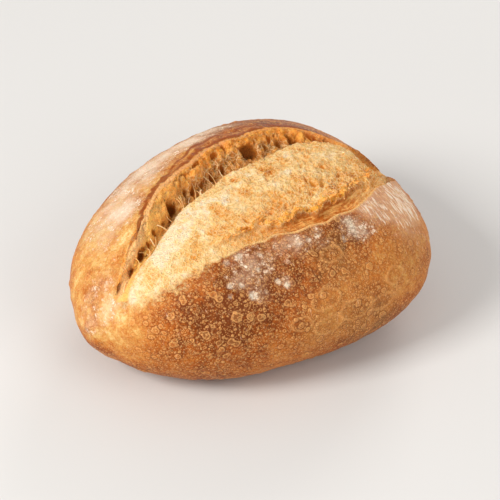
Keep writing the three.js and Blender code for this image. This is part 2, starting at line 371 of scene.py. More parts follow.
@dataclass(frozen=True)
class Score:
    """The opened score: its two lips and the torn surface between them, in millimetres."""

    ear_lip: Curve = (
        (-60, -27), (-56.5, -26), (-53.5, -17), (-50, -6), (-45, 4.5), (-40, 11), (-33, 19.5),
        (-26, 25.5), (-14, 32), (0, 38), (14, 39.5), (26, 41), (34, 38.5), (40, 34), (45, 26),
        (50, 14), (55, -3), (60, -22),
    )
    front_lip: Curve = (
        (-60, -23), (-56.5, -26), (-55.2, -32.5), (-53.5, -38.2), (-50.5, -41.8), (-46, -41.6),
        (-39, -40.7), (-32, -41.4), (-25, -41.8), (-18, -42.8), (-10, -45.3), (-2, -47.2),
        (7, -49.2), (16, -50.9), (24, -50.7), (30, -48.7), (38, -46.8), (48, -46.8), (54, -48.5),
        (57, -44), (60, -26),
    )
    ear_lift: Curve = (
        (-60, 0), (-50, 0.6), (-35, 2), (-15, 2.8), (5, 2.4), (25, 1.6), (40, 0.8), (60, 0),
    )
    valley_depth: Curve = (
        (-60, 0), (-52, 2), (-44, 4.2), (-35, 6), (0, 7), (14, 6.4), (27, 4.6), (38, 2.6), (50, 1.2),
        (60, 0),
    )
    wall_width: Curve = (
        (-60, 1), (-50, 2.8), (-44, 4.2), (-37, 5.2), (-30, 5.8), (-18, 6.4), (0, 7.4), (12, 8.2),
        (22, 7), (32, 5), (42, 3), (60, 1),
    )
    shelf: Curve = (
        (-60, 0), (-38, 0), (-20, 0.55), (-8, 1), (22, 1), (30, 0.6), (38, 0.25), (46, 0.1), (60, 0),
    )
    pores: tuple[Pore, ...] = each(
        Pore,
        (-53, 1.2, 1.6, 1, 2), (-48.3, 2.6, 1.8, 1.1, 1.7), (-42.2, 3.6, 1.9, 1.1, 1.8),
        (-38, 3.9, 1.2, 0.8, 1.2), (-33, 4.3, 1, 0.7, 1), (-28.6, 4.5, 0.9, 0.6, 0.8),
        (-22.3, 4.8, 2.3, 1.2, 2), (-14.6, 4.7, 1.6, 0.9, 1.5), (-11.4, 5.1, 1.5, 0.9, 1.4),
        (-6, 5.2, 1, 0.7, 0.9), (-1.2, 5.5, 1.5, 0.8, 1.2), (3.6, 5.4, 1.5, 0.8, 1.2),
        (8.6, 5.3, 1.1, 0.7, 0.9), (15.6, 4.8, 3.6, 1.4, 2.4), (22.4, 4.7, 1.5, 0.8, 1.2),
        (28.4, 4.6, 1.8, 0.8, 1.2), (34.5, 3.8, 1.4, 0.7, 0.9),
    )
    small_count: int = 34
    small_along: Span = (-46.0, 44.0)
    small_across: Span = (0.62, 0.95)
    small_reach: Span = (0.5, 1.2)
    small_depth: float = 0.8
    seed: int = 5
    pore_slant: float = 0.55
    pore_warp: Noise = Noise(1.3, 2.6, seed=21.0)
    pore_floor: float = 0.35
    least_turn: float = 14.0
    crowding: float = 0.5
    least_width: float = 0.001
    wall_share: float = 0.34
    strip_width: float = 1.9
    strip_share: float = 0.3
    strip_fall: float = 0.15
    shoulder_width: float = 6.2
    shoulder_share: float = 0.3
    bloom_swell: float = 1.0
    notch: Spot = Spot(55, -27, 17, 4.2)
    band_width: float = 4.5
    band_edge: float = 1.1
    band_drop: float = 1.5
    band_wander: Noise = Noise(1.8, 5.0, Grain.ROLLING, 14.0)
    hollow_depth: float = 1.0
    hollow_at: float = 9.4
    hollow_reach: float = 4.6
    front_rise: float = 0.9
    least_rise: float = 0.15
    ear_reach: float = 9.0
    front_reach: float = 5.0
    lip_tolerance: float = 0.02
    lip_waves: tuple[Triple, ...] = ((26.0, 0.7, 0.4), (11.0, 0.5, 2.1))
    into_wall: Span = (-0.6, 0.8)

    def lips(self, x: Array, dome: Dome) -> tuple[Array, Array]:
        """The turns of the two lips.

        Args:
            x: Places along the roll.
            dome: The dome that carries the score.

        Returns:
            The turn of the ear and the turn of the front lip at each x.
        """
        wander = sum(
            turn * np.sin(2.0 * math.pi * x / length + phase)
            for length, turn, phase in self.lip_waves
        )
        wander = wander * bell(x / dome.half_length)
        return along(self.ear_lip, x) + wander, along(self.front_lip, x) - wander

    def spread(self, turn: Array, x: Array, dome: Dome, side: float) -> Array:
        """Spreads a cube's turns over the roll, so that its top covers the tear from lip to lip.

        Args:
            turn: Turns of the cube's points, which its edges cut at 45 and 135 degrees.
            x: Their places along the roll.
            dome: The dome that carries the score.
            side: The turn down to which the cube's side faces reach.

        Returns:
            The turns on the roll.
        """
        ear, front = self.lips(x, dome)
        middle = (ear + front) / 2.0
        high = np.maximum(ear, middle + self.least_turn)
        low = np.minimum(front, middle - self.least_turn)
        share = (turn + 45.0) / 90.0
        crowded = (1.0 - np.cos(math.pi * share)) / 2.0
        share = share + self.crowding * (crowded - share)
        top = low + share * (high - low)
        ear_side = high + (turn - 45.0) / 90.0 * (side - high)
        front_side = low + (turn + 45.0) / 90.0 * (side + low)
        under = np.sign(turn) * (side + (np.abs(turn) - 135.0) / 45.0 * (180.0 - side))
        spread = np.where(turn > 45.0, ear_side, np.where(turn < -45.0, front_side, top))
        return np.where(np.abs(turn) > 135.0, under, spread)

    def torn_height(self, place: LippedPlace) -> Array:
        """The height of the torn surface over the dome.

        Args:
            place: Points of the dome.

        Returns:
            Heights in millimetres.
        """
        x, from_ear = place.x, place.from_ear
        width = np.maximum(from_ear + place.from_front, self.least_width)
        lift = along(self.ear_lift, x)
        depth = along(self.valley_depth, x)
        wall = np.minimum(along(self.wall_width, x), self.wall_share * width)
        strip = np.minimum(self.strip_width, self.strip_share * wall)
        shoulder = np.minimum(self.shoulder_width, self.shoulder_share * width)
        share = np.clip((from_ear - wall - shoulder) / (width - wall - shoulder), 0.0, 1.0)
        bloom = self.bloom_swell * np.sin(math.pi * share) - self.shelf_depth(place)
        brow = lift * (1.0 - self.strip_fall * np.clip(from_ear / strip, 0.0, 1.0))
        down = brow - (brow + depth) * smoothstep(from_ear, strip, wall)
        up = (bloom + depth) * smoothstep(from_ear, wall, wall + shoulder) - depth
        return np.where(from_ear < wall, down, up) - place.cover([self.notch])

    def shelf_depth(self, place: LippedPlace) -> Array:
        """How far the band behind the front lip, and the hollow behind that, lie under the bloom.

        Args:
            place: Points of the dome.

        Returns:
            Depths in millimetres.
        """
        inside = self.ledge(place, place.from_front)
        band = self.band_drop * smoothstep(inside, -self.band_edge, self.band_edge)
        behind = (place.from_front - self.hollow_at) / self.hollow_reach
        hollow = self.hollow_depth * bell(behind)
        return along(self.shelf, place.x) * (band + hollow)

    def ledge(self, place: Place, from_front: Array | float) -> Array:
        """Distances from the ragged ledge over the band, which grow towards the front lip."""
        return self.band_width + self.band_wander.at(place.points) - from_front

    def small_pores(self) -> list[Pore]:
        """Small pores, scattered over the wall by a seeded draw.

        Returns:
            The pores.
        """
        draw = np.random.default_rng(self.seed)
        x = within(self.small_along, draw.random(self.small_count))
        share = within(self.small_across, draw.random(self.small_count))
        from_ear = share * along(self.wall_width, x)
        reach = within(self.small_reach, draw.random(self.small_count))
        sizes = zip(x.tolist(), from_ear.tolist(), reach.tolist())
        return [Pore(a, b, c, self.pore_slant * c, self.small_depth * c) for a, b, c in sizes]

    def pore_depth(self, place: LippedPlace) -> Array:
        """How far the pores sink the torn surface, with steeper walls than a bell has.

        Args:
            place: Points of the dome.

        Returns:
            Depths in millimetres.
        """
        warp = self.pore_warp.at(place.points)
        x, from_ear = place.x + warp, place.from_ear + self.pore_slant * warp
        deepest = np.zeros_like(x)
        for pore in [*self.pores, *self.small_pores()]:
            away = np.hypot(
                (x - pore.x) / pore.reach_x,
                (from_ear - pore.from_ear) / pore.reach_across,
            )
            sunk = 1.0 - smoothstep(away, self.pore_floor, 1.0)
            deepest = np.maximum(deepest, pore.depth * sunk)
        return deepest

    def carve(self, place: Place) -> Array:
        """The direction in which a pore reaches into the wall, one row for each point."""
        inward, around = self.into_wall
        return inward * place.normals + around * place.around


@dataclass(frozen=True)
class CrumbTexture:
    """The roughness of torn crumb: crags, foam walls, fibres and the shelf's ragged flakes."""

    crag: Noise = Noise(0.8, 4.6, Grain.RIDGED, 4.0, 0.4)
    cell: Noise = Noise(0.8, 2.6, Grain.CELLS, 5.0, 0.35)
    flake: Noise = Noise(2.8, 3.8, Grain.ROLLING, 7.0, -0.15)
    groove: Noise = Noise(0.45, (6.0, 0.9, 1.0), Grain.RIDGED, 18.0, 0.4)
    lump: Noise = Noise(1.3, 3.6, Grain.ROLLING, 19.0)
    pucker: Noise = Noise(-0.7, 1.7, Grain.RIDGED, 20.0, 0.5)
    warp: tuple[Noise, ...] = (
        Noise(1.0, 3.5, seed=1.0),
        Noise(1.0, 3.5, seed=2.0),
        Noise(1.0, 3.5, seed=3.0),
    )
    bend: float = 1.2
    groove_bend: float = 0.4
    lump_bend: Noise = Noise(0.8, 2.4, seed=22.0)
    wall_stretch: float = 2.2
    wall_start: Span = (0.5, 2.4)
    wall_fade: float = 2.5
    bloom_from: float = 0.8
    bloom_full: float = 9.0
    flake_width: float = 1.9
    flake_at: float = 0.6
    band_start: Span = (0.0, 1.5)
    calm: float = 0.8
    ear_strip: float = 0.8
    free_edge: float = 2.2
    softness: Curve = ((-60, 0.15), (-35, 0.3), (-12, 0.65), (8, 0.9), (60, 0.9))

    def height(self, place: LippedPlace, score: Score) -> Array:
        """The roughness over the torn surface.

        Args:
            place: Points of the dome.
            score: The score that they lie in.

        Returns:
            Heights in millimetres.
        """
        warp = np.stack([layer.at(place.points) for layer in self.warp], axis=1)
        bent = place.points + self.bend * warp
        from_ear, from_front = place.from_ear, place.from_front
        shelf, inside_band = along(score.shelf, place.x), score.ledge(place, from_front)
        on_band = shelf * smoothstep(inside_band, *self.band_start)
        groove = np.stack([place.x, from_front, np.zeros_like(place.x)], axis=1)
        grooves = self.groove.at(groove + self.groove_bend * warp) * on_band
        on_shelf = bell((-inside_band - self.flake_width * self.flake_at) / self.flake_width)
        flakes = self.flake.at(bent) * on_shelf * shelf

        bloom_from = self.bloom_from * along(score.wall_width, place.x)
        on_wall = 1.0 - smoothstep(from_ear, bloom_from, self.bloom_full)
        rough = along(self.softness, place.x) * (self.crag.at(bent) + self.cell.at(bent))
        rough *= (1.0 - self.calm * on_wall) * (1.0 - self.calm * on_band)
        inside = smoothstep(from_ear, self.ear_strip, self.ear_strip + self.free_edge)
        inside *= smoothstep(from_front, 0.0, self.free_edge)
        return inside * (rough + grooves) + flakes

    def wall_lumps(self, place: LippedPlace, score: Score) -> Array:
        """How far the lumps of the torn wall stand out of it.

        Args:
            place: Points of the dome.
            score: The score that they lie in.

        Returns:
            Distances in millimetres.
        """
        down = self.wall_stretch * place.from_ear
        flat = np.stack([place.x, down, np.zeros_like(down)], axis=1)
        flat = flat + self.lump_bend.at(flat)[:, None]
        wall = along(score.wall_width, place.x)
        on_wall = smoothstep(place.from_ear, *self.wall_start)
        on_wall *= 1.0 - smoothstep(place.from_ear, wall, wall + self.wall_fade)
        return on_wall * (self.lump.at(flat) + self.pucker.at(flat))


@dataclass(frozen=True)
class Blister:
    """A small round bubble in the crust."""

    x: float
    turn: float
    reach: float
    height: float


@dataclass(frozen=True)
class CrustTexture:
    """The unevenness of the crust: swells, waves, blisters and wrinkles."""

    swells: tuple[Spot, ...] = each(
        Spot,
        (-38, -75, 24, 0.9), (24, -82, 24, -0.8), (5, -60, 18, 0.7), (-50, 60, 24, 0.5),
        (20, 85, 30, 0.2), (18, 66, 12, -0.5), (-20, 110, 26, -0.7), (54, -36, 20, -1.0),
        (52, 28, 16, -1.0), (53, -75, 12, -0.7), (40, -97, 16, 0.6), (-8, -112, 24, -0.6),
        (-57, 158, 14, 1.8),
    )
    large_blisters: tuple[Blister, ...] = each(
        Blister,
        (-31, -72.3, 1.7, 0.4), (-27, -73.7, 1.1, 0.3), (-24.3, -75.3, 1.3, 0.35),
        (-48.3, -82.5, 1.1, 0.25), (-40.1, -77.6, 1.3, 0.3), (-46.6, -62.1, 1, 0.3),
        (-42.1, -55.2, 1, 0.25), (-33.2, -61.8, 1.2, 0.3), (-47.8, -79.6, 0.9, 0.25),
        (-13.8, -64.4, 1.2, 0.3), (-11.1, -66.4, 1.2, 0.3), (-22.9, -65.8, 1.3, 0.3),
        (-18.6, -55.9, 1.3, 0.3), (-52.8, 35.6, 1.2, 0.3),
    )
    wrinkles: tuple[Blister, ...] = each(
        Blister,
        (-2.8, -77, 5, 0.28), (6.6, -85.2, 5.6, 0.3), (16.9, -87.5, 4.6, 0.3),
        (-3.2, -87.5, 4.6, 0.3), (5.2, -62.8, 3.6, 0.3), (-12.3, -83.5, 3.6, 0.25),
        (24, -80, 4, 0.25),
    )
    wave: Noise = Noise(0.4, 13.0, Grain.ROLLING)
    lump: Noise = Noise(0.16, 4.2, seed=12.0)
    scattered: int = 1500
    scatter_share: float = 0.95
    scatter_reach: Span = (0.5, 1.3)
    scatter_power: int = 4
    scatter_height: float = 0.24
    halo: float = 1.5
    wobble: Noise = Noise(0.55, 1.3, seed=17.0)
    ridge_width: float = 0.7
    wrinkle_height: float = 0.28
    wrinkle_wobble: Noise = Noise(0.25, 3.0, seed=8.0)
    wrinkle_shape: float = 0.62
    wrinkle_slope: float = 0.8
    seed: int = 7

    def blisters(self, dome: Dome) -> list[Blister]:
        """All blisters: the placed ones, and small ones scattered by a seeded draw.

        Args:
            dome: The dome that carries them.

        Returns:
            The blisters.
        """
        draw = np.random.default_rng(self.seed)
        end = self.scatter_share * dome.half_length
        x = within((-end, end), draw.random(self.scattered))
        turn = within((-180.0, 180.0), draw.random(self.scattered))
        reach = within(self.scatter_reach, draw.random(self.scattered) ** self.scatter_power)
        sizes = zip(x.tolist(), turn.tolist(), reach.tolist())
        small = [Blister(a, b, c, self.scatter_height * c) for a, b, c in sizes]
        return [*self.large_blisters, *small]

    def blister_height(self, place: Place, dome: Dome) -> tuple[Array, Array]:
        """The blisters' relief.

        Args:
            place: Points of the dome.
            dome: The dome.

        Returns:
            Heights in millimetres, and a weight that is 1 in a blister's middle and falls to 0 at
            the end of its halo.
        """
        height = np.zeros_like(place.x)
        nearness = np.zeros_like(place.x)
        tree = KDTree(len(place.points))
        for i, point in enumerate(place.points.tolist()):
            tree.insert(point, i)
        tree.balance()
        blisters = self.blisters(dome)
        centres = dome.skin(
            np.array([blister.x for blister in blisters]),
            np.array([blister.turn for blister in blisters]),
        ).points
        wobble = 1.0 + self.wobble.at(place.points)
        for blister, centre in zip(blisters, centres.tolist()):
            for _, i, away in tree.find_range(centre, self.halo * blister.reach):
                ratio = min(away / blister.reach * wobble[i], self.halo)
                height[i] = max(height[i], blister.height * (1.0 - ratio * ratio))
                nearness[i] = max(nearness[i], 1.0 - ratio / self.halo)
        return height, nearness

    def wrinkle_weight(self, place: Place) -> Array:
        """The thin raised outlines of blisters that have sunk again.

        Args:
            place: Points of the dome.

        Returns:
            Weights from 0 to 1.
        """
        wobble = 1.0 + self.wrinkle_wobble.at(place.points)
        weight = np.zeros_like(place.x)
        for wrinkle in self.wrinkles:
            lengthwise, round_about = place.away_from(wrinkle.x, wrinkle.turn)
            ring = np.hypot(lengthwise, round_about / self.wrinkle_shape) / wrinkle.reach
            off = (ring * wobble - 1.0) * self.wrinkle_slope * wrinkle.reach
            weight = np.maximum(weight, bell(off / self.ridge_width))
        return weight


# ---------------------------------------------------------------- colours over the roll


@dataclass(frozen=True)
class BakeMap:
    """Where the crust is browner, and where flour lies."""

    ground: float = 0.485
    patches: tuple[Spot, ...] = each(
        Spot,
        (-56, 20, 26, -0.27), (-55, -40, 13, -0.04), (-56, -31, 4, -0.1), (-57.5, -47, 4, -0.1),
        (-58.5, -62, 5, -0.08), (8, -68, 16, 0.12), (34, -64, 14, 0.06), (-38, 44, 22, -0.24),
        (-20, 36, 9, -0.18), (-6, 44, 9, -0.16), (4, 47, 8, 0.05), (16, 50, 8, 0.15),
        (30, 46, 9, 0.2), (42, 38, 9, 0.2), (-49.3, -46, 8, -0.2), (-55, -56, 8, -0.08),
        (-57, -70, 8, -0.06), (10, -98, 22, 0.2), (28, -104, 20, 0.1), (-54, -66, 15, -0.1),
        (-57, 22, 8, 0.18), (-59.8, -62, 5, 0.25), (-56.6, -80, 6, -0.12), (-58, -5, 6, 0.12),
        (-48, -84, 12, 0.1), (-40, -66, 20, 0.34), (-22, -74, 24, 0.34), (-23, -54, 14, 0.28),
        # The patches at turns -105 and -114 darken the crust along the lower front rim
        (-39, -54, 9, -0.12), (-34, -84, 10, 0.12), (-14, -105, 10, 0.14), (-37, -114, 12, 0.12),
        (-6, -58, 18, 0.27), (12, -56, 16, 0.34), (-36, -98, 22, 0.1), (2, -86, 20, -0.06),
        (22, -78, 22, -0.04), (44, -70, 18, -0.06), (18, -102, 22, 0.18), (2, -99, 9, 0.1),
        (-19, -88, 9, -0.1), (20.6, -88.8, 8, -0.14), (52, -64, 7, 0.1), (-10, 60, 34, -0.1),
        (20, 55, 26, 0.12), (30, 80, 30, 0.12), (-20, 100, 30, 0.14), (40, 60, 26, 0.12),
    )
    flour: tuple[Spot, ...] = each(
        Spot,
        (-35, 34, 8, 0.6), (-50, -44, 6, 0.35), (-56, -28, 3, 0.3), (-57.5, 0, 14, 0.5),
        (-30, 33, 6, 0.35), (-42, 46, 15, 0.6), (-32, 50, 16, 0.7), (-20, 56, 16, 0.8),
        (-10, 58, 13, 0.9), (0, 60, 12, 0.9), (9, 61, 11, 0.75), (17, 60, 9, 0.7), (24, 57, 7, 0.6),
        (18, 74, 16, 0.4), (-55, -31, 5, 0.25), (-57, -45, 5, 0.3), (-58, -66, 5, 0.1),
        (-22, -50, 9, 0.5), (-16, -55, 10, 0.5), (-5, -54, 8, 0.4), (-9, -50.5, 5, 0.3),
        (-2, -52.5, 5, 0.4), (4, -55, 7, 0.5), (-19, 43, 7, 0.4), (1, 48, 7, 0.4), (10, 50, 6, 0.4),
        (6, 54, 9, 0.35), (-45, 28, 7, 0.3), (-22, -66, 5, 0.6), (-12.5, -65.5, 4, 0.55),
        (-26, -58, 5, 0.6), (-33, -46, 8, 0.3), (17, -57, 7, 0.7), (22, -61, 6, 0.55),
        (0, 110, 40, 0.25),
    )
    streaks: tuple[Spot, ...] = each(
        Spot,
        (29, -54, 9, 0.9), (40, -57, 16, 0.95), (47, -58, 12, 0.85), (40, -72, 14, 0.4),
        (24, -53, 6, 0.45),
    )
    clumps: tuple[Spot, ...] = each(
        Spot,
        (-28.5, -58, 1.6, 0.8), (-25.5, -59.5, 1.6, 0.8), (-24, -65.5, 2.2, 1.0),
        (-20, -66, 1.6, 0.5), (-15, -64, 1.7, 0.8), (-13, -66.5, 1.7, 0.9), (-21, -47, 2.0, 0.9),
        (-18.5, -56, 1.7, 0.7), (-25.5, -46.5, 2.0, 0.6), (-15, -50.5, 2.0, 0.6),
        (-6, -53, 1.8, 0.55), (-2.5, -53.5, 2.0, 0.6), (1, -54, 2.0, 0.6), (-30, -62.5, 1.5, 0.45),
        (17.5, -55, 3.0, 0.7), (12, -59.5, 2.2, 0.5), (17, -59, 3.0, 0.7), (21, -60.5, 3.0, 0.5),
    )
    ochre: tuple[Spot, ...] = each(
        Spot,
        (-3, -87, 16, 0.6), (14, -92, 16, 0.6), (6, -68, 14, 0.45), (32, -78, 16, 0.3),
    )
    blotches: Noise = Noise(0.12, 14.0, Grain.ROLLING, 9.0)
    mottle: Noise = Noise(0.12, 4.0, Grain.ROLLING, 10.0)
    # The crust is darker towards the bottom, rising from the first of these turns to the second
    under_turn: Span = (108.0, 128.0)
    under_bake: float = 0.12

    def bake(self, place: Place) -> Array:
        """How brown the crust is.

        Args:
            place: Points of the dome.

        Returns:
            Values from 0, pale gold, to 1, dark brown.
        """
        uneven = self.blotches.at(place.points) + self.mottle.at(place.points)
        # Darker towards the bottom
        under = self.under_bake * smoothstep(np.abs(place.turn), *self.under_turn)
        return np.clip(self.ground + place.cover(self.patches) + uneven + under, 0.0, 1.0)


@dataclass(frozen=True)
class ToastMap:
    """Where the torn crumb is toasted orange instead of cream."""

    ground: float = 0.3
    patches: tuple[Spot, ...] = each(
        Spot,
        (-27, -7, 14, -0.3), (-40, -14, 12, -0.35), (-12, -4, 12, -0.2), (-52, -30, 9, -0.3),
        (-45, -31.4, 3, 0.35), (-29, -25, 4, 0.3), (-36, -28, 3, 0.2), (-20, -30, 5, 0.28),
        (-22.7, -25.7, 3, 0.4), (-26.7, -21.3, 2.5, 0.35), (-15, -18, 4.5, 0.55),
        (-14.8, -9, 3.5, 0.45), (-3.3, -10.6, 4.5, 0.5), (-1.4, 2.9, 2.5, 0.4),
        (10, -2.6, 4.5, 0.35), (17.2, 4, 3, 0.35), (4, -24.5, 4.5, 0.45), (23.8, -33, 2.5, 0.6),
        (28.5, -39, 3, 0.5), (28.5, -17.6, 4, 0.3), (-12, -33, 7, 0.35), (-4.7, -31, 5, 0.35),
        (1, -36, 6, 0.4), (15, -24, 6, 0.35), (10, -5, 4, 0.25), (6.3, -30.7, 5, 0.25),
        (12, -35, 5, 0.22), (22, -36, 8, 0.4), (30, -38, 9, 0.4), (40, -38, 12, 0.4),
        (45, -20, 16, 0.08), (30, 10, 8, 0.15), (33.4, 31.4, 2.8, 0.6), (44.3, 23.2, 3, 0.45),
    )
    wall: Curve = (
        (-60, 0.45), (-26, 0.48), (-8, 0.56), (4, 0.62), (24, 0.64), (32, 0.74), (60, 0.8),
    )
    shelf: Curve = ((-60, 0.5), (-14, 0.5), (-4, 0.58), (6, 0.74), (60, 0.74))
    band: Curve = ((-60, 0.3), (-14, 0.4), (-4, 0.6), (5, 1), (60, 1))
    stains: tuple[Spot, ...] = (Spot(33.4, 31.4, 2.4, 0.45), Spot(44.3, 23.2, 3.5, 0.28))
    ridge_width: float = 1.4
    mottle: Noise = Noise(0.22, 5.0, Grain.ROLLING, 11.0)
    wall_end: Span = (0.75, 1.1)
    shelf_end: Span = (0.8, 1.5)

    def toast(self, place: LippedPlace, score: Score) -> Array:
        """How toasted the crumb is.

        Args:
            place: Points of the dome.
            score: The score that they lie in.

        Returns:
            Values from 0, cream, to 1, brown.
        """
        down_wall = place.from_ear / along(score.wall_width, place.x)
        on_wall = 1.0 - smoothstep(down_wall, *self.wall_end)
        ridge = score.band_width + self.ridge_width
        on_shelf = 1.0 - smoothstep(place.from_front / ridge, *self.shelf_end)
        on_shelf *= along(score.shelf, place.x)
        mottle = self.mottle.at(place.points)
        bloom = self.ground + place.cover(self.patches) + mottle
        toasted = np.maximum(bloom, on_wall * (along(self.wall, place.x) + mottle))
        shelf = on_shelf * (along(self.shelf, place.x) + mottle)
        return np.clip(np.maximum(toasted, shelf), 0.0, 1.0)


# ---------------------------------------------------------------- the roll's mesh


def placed(name: str, data: bpy.types.ID) -> bpy.types.Object:
    """Makes an object of some data and puts it in the scene.

    Args:
        name: The object's name.
        data: Its mesh, light or camera.

    Returns:
        The object.
    """
    thing = bpy.data.objects.new(name, data)
    bpy.context.scene.collection.objects.link(thing)
    return thing


def edges_along(mesh: bmesh.types.BMesh, axis: int) -> list[bmesh.types.BMEdge]:
    """The uncut edges of a fresh cube or cylinder that run along an axis."""
    ends = ((edge, *(vert.co[axis] for vert in edge.verts)) for edge in mesh.edges)
    return [edge for edge, first, last in ends if abs(first - last) > LEAST_EDGE]


def smooth_piece(
    name: str, mesh: bmesh.types.BMesh, points: Array, masks: dict[Mask, Array]
) -> bpy.types.Object:
    """Moves a mesh's points into place and makes it a smooth piece of the scene.

    Args:
        name: The piece's name.
        mesh: The mesh, which is used up.
        points: Where its points go, in metres.
        masks: One array of weights for each mask.

    Returns:
        The piece, without a finish.
    """
    for vert, point in zip(mesh.verts, points.tolist()):
        vert.co = point
    bmesh.ops.recalc_face_normals(mesh, faces=mesh.faces)
    for face in mesh.faces:
        face.smooth = True
    data = bpy.data.meshes.new(name)
    mesh.to_mesh(data)
    mesh.free()
    for mask, weights in masks.items():
        attribute = data.attributes.new(mask.value, "FLOAT", "POINT")
        attribute.data.foreach_set("value", weights.astype(np.float32))
    return placed(name, data)


@dataclass
class Roll:
    """The whole roll as one closed skin."""

    dome: Dome = field(default_factory=Dome)
    score: Score = field(default_factory=Score)
    crumb: CrumbTexture = field(default_factory=CrumbTexture)
    crust: CrustTexture = field(default_factory=CrustTexture)
    bake: BakeMap = field(default_factory=BakeMap)
    toast: ToastMap = field(default_factory=ToastMap)
    panels: tuple[int, int, int] = (184, 122, 86)
    side_turn: float = 112.0
    top_turn: float = 100.0
    end_share: float = 0.6
    soft_edge: Curve = ((-60, 3), (-46, 3), (-34, 2), (-22, 0.3), (60, 0.3))
    spill: Curve = (
        (-60, 5), (-48, 7), (-41, 7), (-35, 6), (-29, 3.5), (-22, 1.2), (-14, 0.6), (60, 0.1),
    )
    brow: Curve = (
        (-60, 0.9), (-24, 0.8), (-14, 0.8), (-6, 0.8), (8, 0.7), (14, 0.3), (60, 0.3),
    )
    rim_inner: Curve = (
        (-60, 1.2), (-44, 1.4), (-38, 1.7), (-33, 1), (-26, 0), (-19, 0.2), (-4, 0.5), (60, 0.5),
    )
    rim_outer: Curve = (
        (-60, 0.7), (-44, 0.6), (-38, 0.1), (-33, -0.9), (-26, -1.8), (-19, -2), (-14, -2.8),
        (-7, -4.6), (5, -5.2), (14, -4.4), (23, -4.2), (30, -2.8), (40, -1.5), (60, -1),
    )
    rim_fray: Noise = Noise(0.6, 2.4, Grain.ROLLING, 16.0)
    rim_patchy: Noise = Noise(0.4, 6.0, Grain.ROLLING, 26.0)
    rim_fade: Span = (0.75, 1.3)
    rim_taper: float = 0.4
    parting_width: Span = (1.2, 2.2)
    parting_fade: Span = (0.25, 0.75)
    parting_strength: float = 0.85
    rim_strength: Curve = (
        (-60, 0.1), (-51, 0.2), (-46, 0.3), (-41, 0.55), (-36, 0.9), (42, 1), (50, 0.3), (60, 0.2),
    )
    # Painted light: how strongly the torn wall and its strip are painted lighter at the narrow end,
    # along x
    tip: Curve = ((-60, 1), (-36, 1), (-27, 0.5), (-19, 0.3), (-8, 0))
    brow_gap: float = 0.7
    brow_reach: float = 1.1
    edge_at: float = 0.1
    edge_reach: float = 0.8
    outside: float = -99.0
    open_width: Span = (1.5, 12.0)
    crumb_width: Span = (0.6, 2.0)
    pore_width: Span = (0.5, 2.5)
    pore_start: Span = (0.0, 0.6)
    blister_start: Span = (0.3, 2.0)
    deep_pore: float = 1.6
    ragged: Noise = Noise(0.35, 3.2, seed=13.0)
    wander: Noise = Noise(0.8, 4.0, Grain.ROLLING, 15.0)
    turn_rounds: int = 4
    shift: Vector = field(default_factory=Vector)

    def cube(self) -> bmesh.types.BMesh:
        """A cube of side 2 whose faces are split into the roll's panels.

        Returns:
            The cube.
        """
        mesh = bmesh.new()
        bmesh.ops.create_cube(mesh, size=2.0)
        for axis, panels in enumerate(self.panels):
            edges = edges_along(mesh, axis)
            bmesh.ops.subdivide_edges(mesh, edges=edges, cuts=panels - 1, use_grid_fill=True)
        return mesh

    def places(self, cube_points: Array) -> Place:
        """Lays a cube's points on the dome, with rows along the score's lips.

        Args:
            cube_points: Points of a cube's skin, -1 to 1.

        Returns:
            The points on the dome.
        """
        even = np.tan(cube_points.T * math.pi / 4.0)
        xx, yy, zz = even * even
        parts = [
            part * np.sqrt(1.0 - a / 2.0 - b / 2.0 + a * b / 3.0)
            for part, a, b in zip(even, (yy, xx, xx), (zz, zz, yy))
        ]
        directions = np.stack(parts, axis=1)
        directions /= np.linalg.norm(directions, axis=1, keepdims=True)
        lengthwise = directions[:, 0]
        fuller = self.end_share * lengthwise * (1.5 - 0.5 * lengthwise**2)
        along_x = self.dome.half_length * (fuller + (1.0 - self.end_share) * lengthwise)
        turn = np.degrees(np.arctan2(directions[:, 1], directions[:, 2]))
        return self.dome.skin(
            along_x, self.score.spread(turn, along_x, self.dome, self.side_turn)
        )

    def lipped(self, place: Place) -> LippedPlace:
        """Measures how far points lie from the two lips.

        Args:
            place: Points of the dome.

        Returns:
            The points with their distances.
        """
        ear, front = self.score.lips(place.x, self.dome)
        from_ear = np.radians(ear - place.turn) * place.radius
        from_front = np.radians(place.turn - front) * place.radius
        return LippedPlace(**vars(place), from_ear=from_ear, from_front=from_front)

    def relief(self, place: LippedPlace) -> tuple[Array, dict[Mask, Array]]:
        """The relief over the dome and the weights for the finish.

        Args:
            place: Points of the dome.

        Returns:
            How far each point is moved, in millimetres, and one array of weights for each mask.
        """
        score, crust = self.score, self.crust
        from_ear, from_front = place.from_ear, place.from_front
        width = from_ear + from_front
        on_top = np.abs(place.turn) < self.top_turn
        gap = np.where(on_top, np.minimum(from_ear, from_front), self.outside)
        torn = gap > score.lip_tolerance
        opened = smoothstep(width, *self.open_width) * on_top

        skin = crust.wave.at(place.points) + crust.lump.at(place.points)
        blisters, nearness = crust.blister_height(place, self.dome)
        wrinkles = crust.wrinkle_weight(place)
        on_crust = smoothstep(-gap, *self.blister_start)
        skin += (blisters + crust.wrinkle_height * wrinkles) * on_crust
        ragged = 1.0 + self.ragged.at(place.points)
        ear = along(score.ear_lift, place.x) * np.exp(-((from_ear / score.ear_reach) ** 2))
        front = score.front_rise * np.exp(-((from_front / score.front_reach) ** 2))
        front *= score.least_rise + (1.0 - score.least_rise) * along(score.shelf, place.x)
        skin += opened * ragged * np.where(from_ear < from_front, ear, front)

        pores, lumps, texture = (np.zeros_like(place.x) for _ in range(3))
        inside = place.pick(torn)
        pores[torn] = score.pore_depth(inside)
        pores *= smoothstep(width, *self.pore_width) * smoothstep(gap, *self.pore_start)
        lumps[torn] = self.crumb.wall_lumps(inside, score)
        lumps *= opened
        texture[torn] = self.crumb.height(inside, score)
        crumb = opened * (score.torn_height(place) + texture)

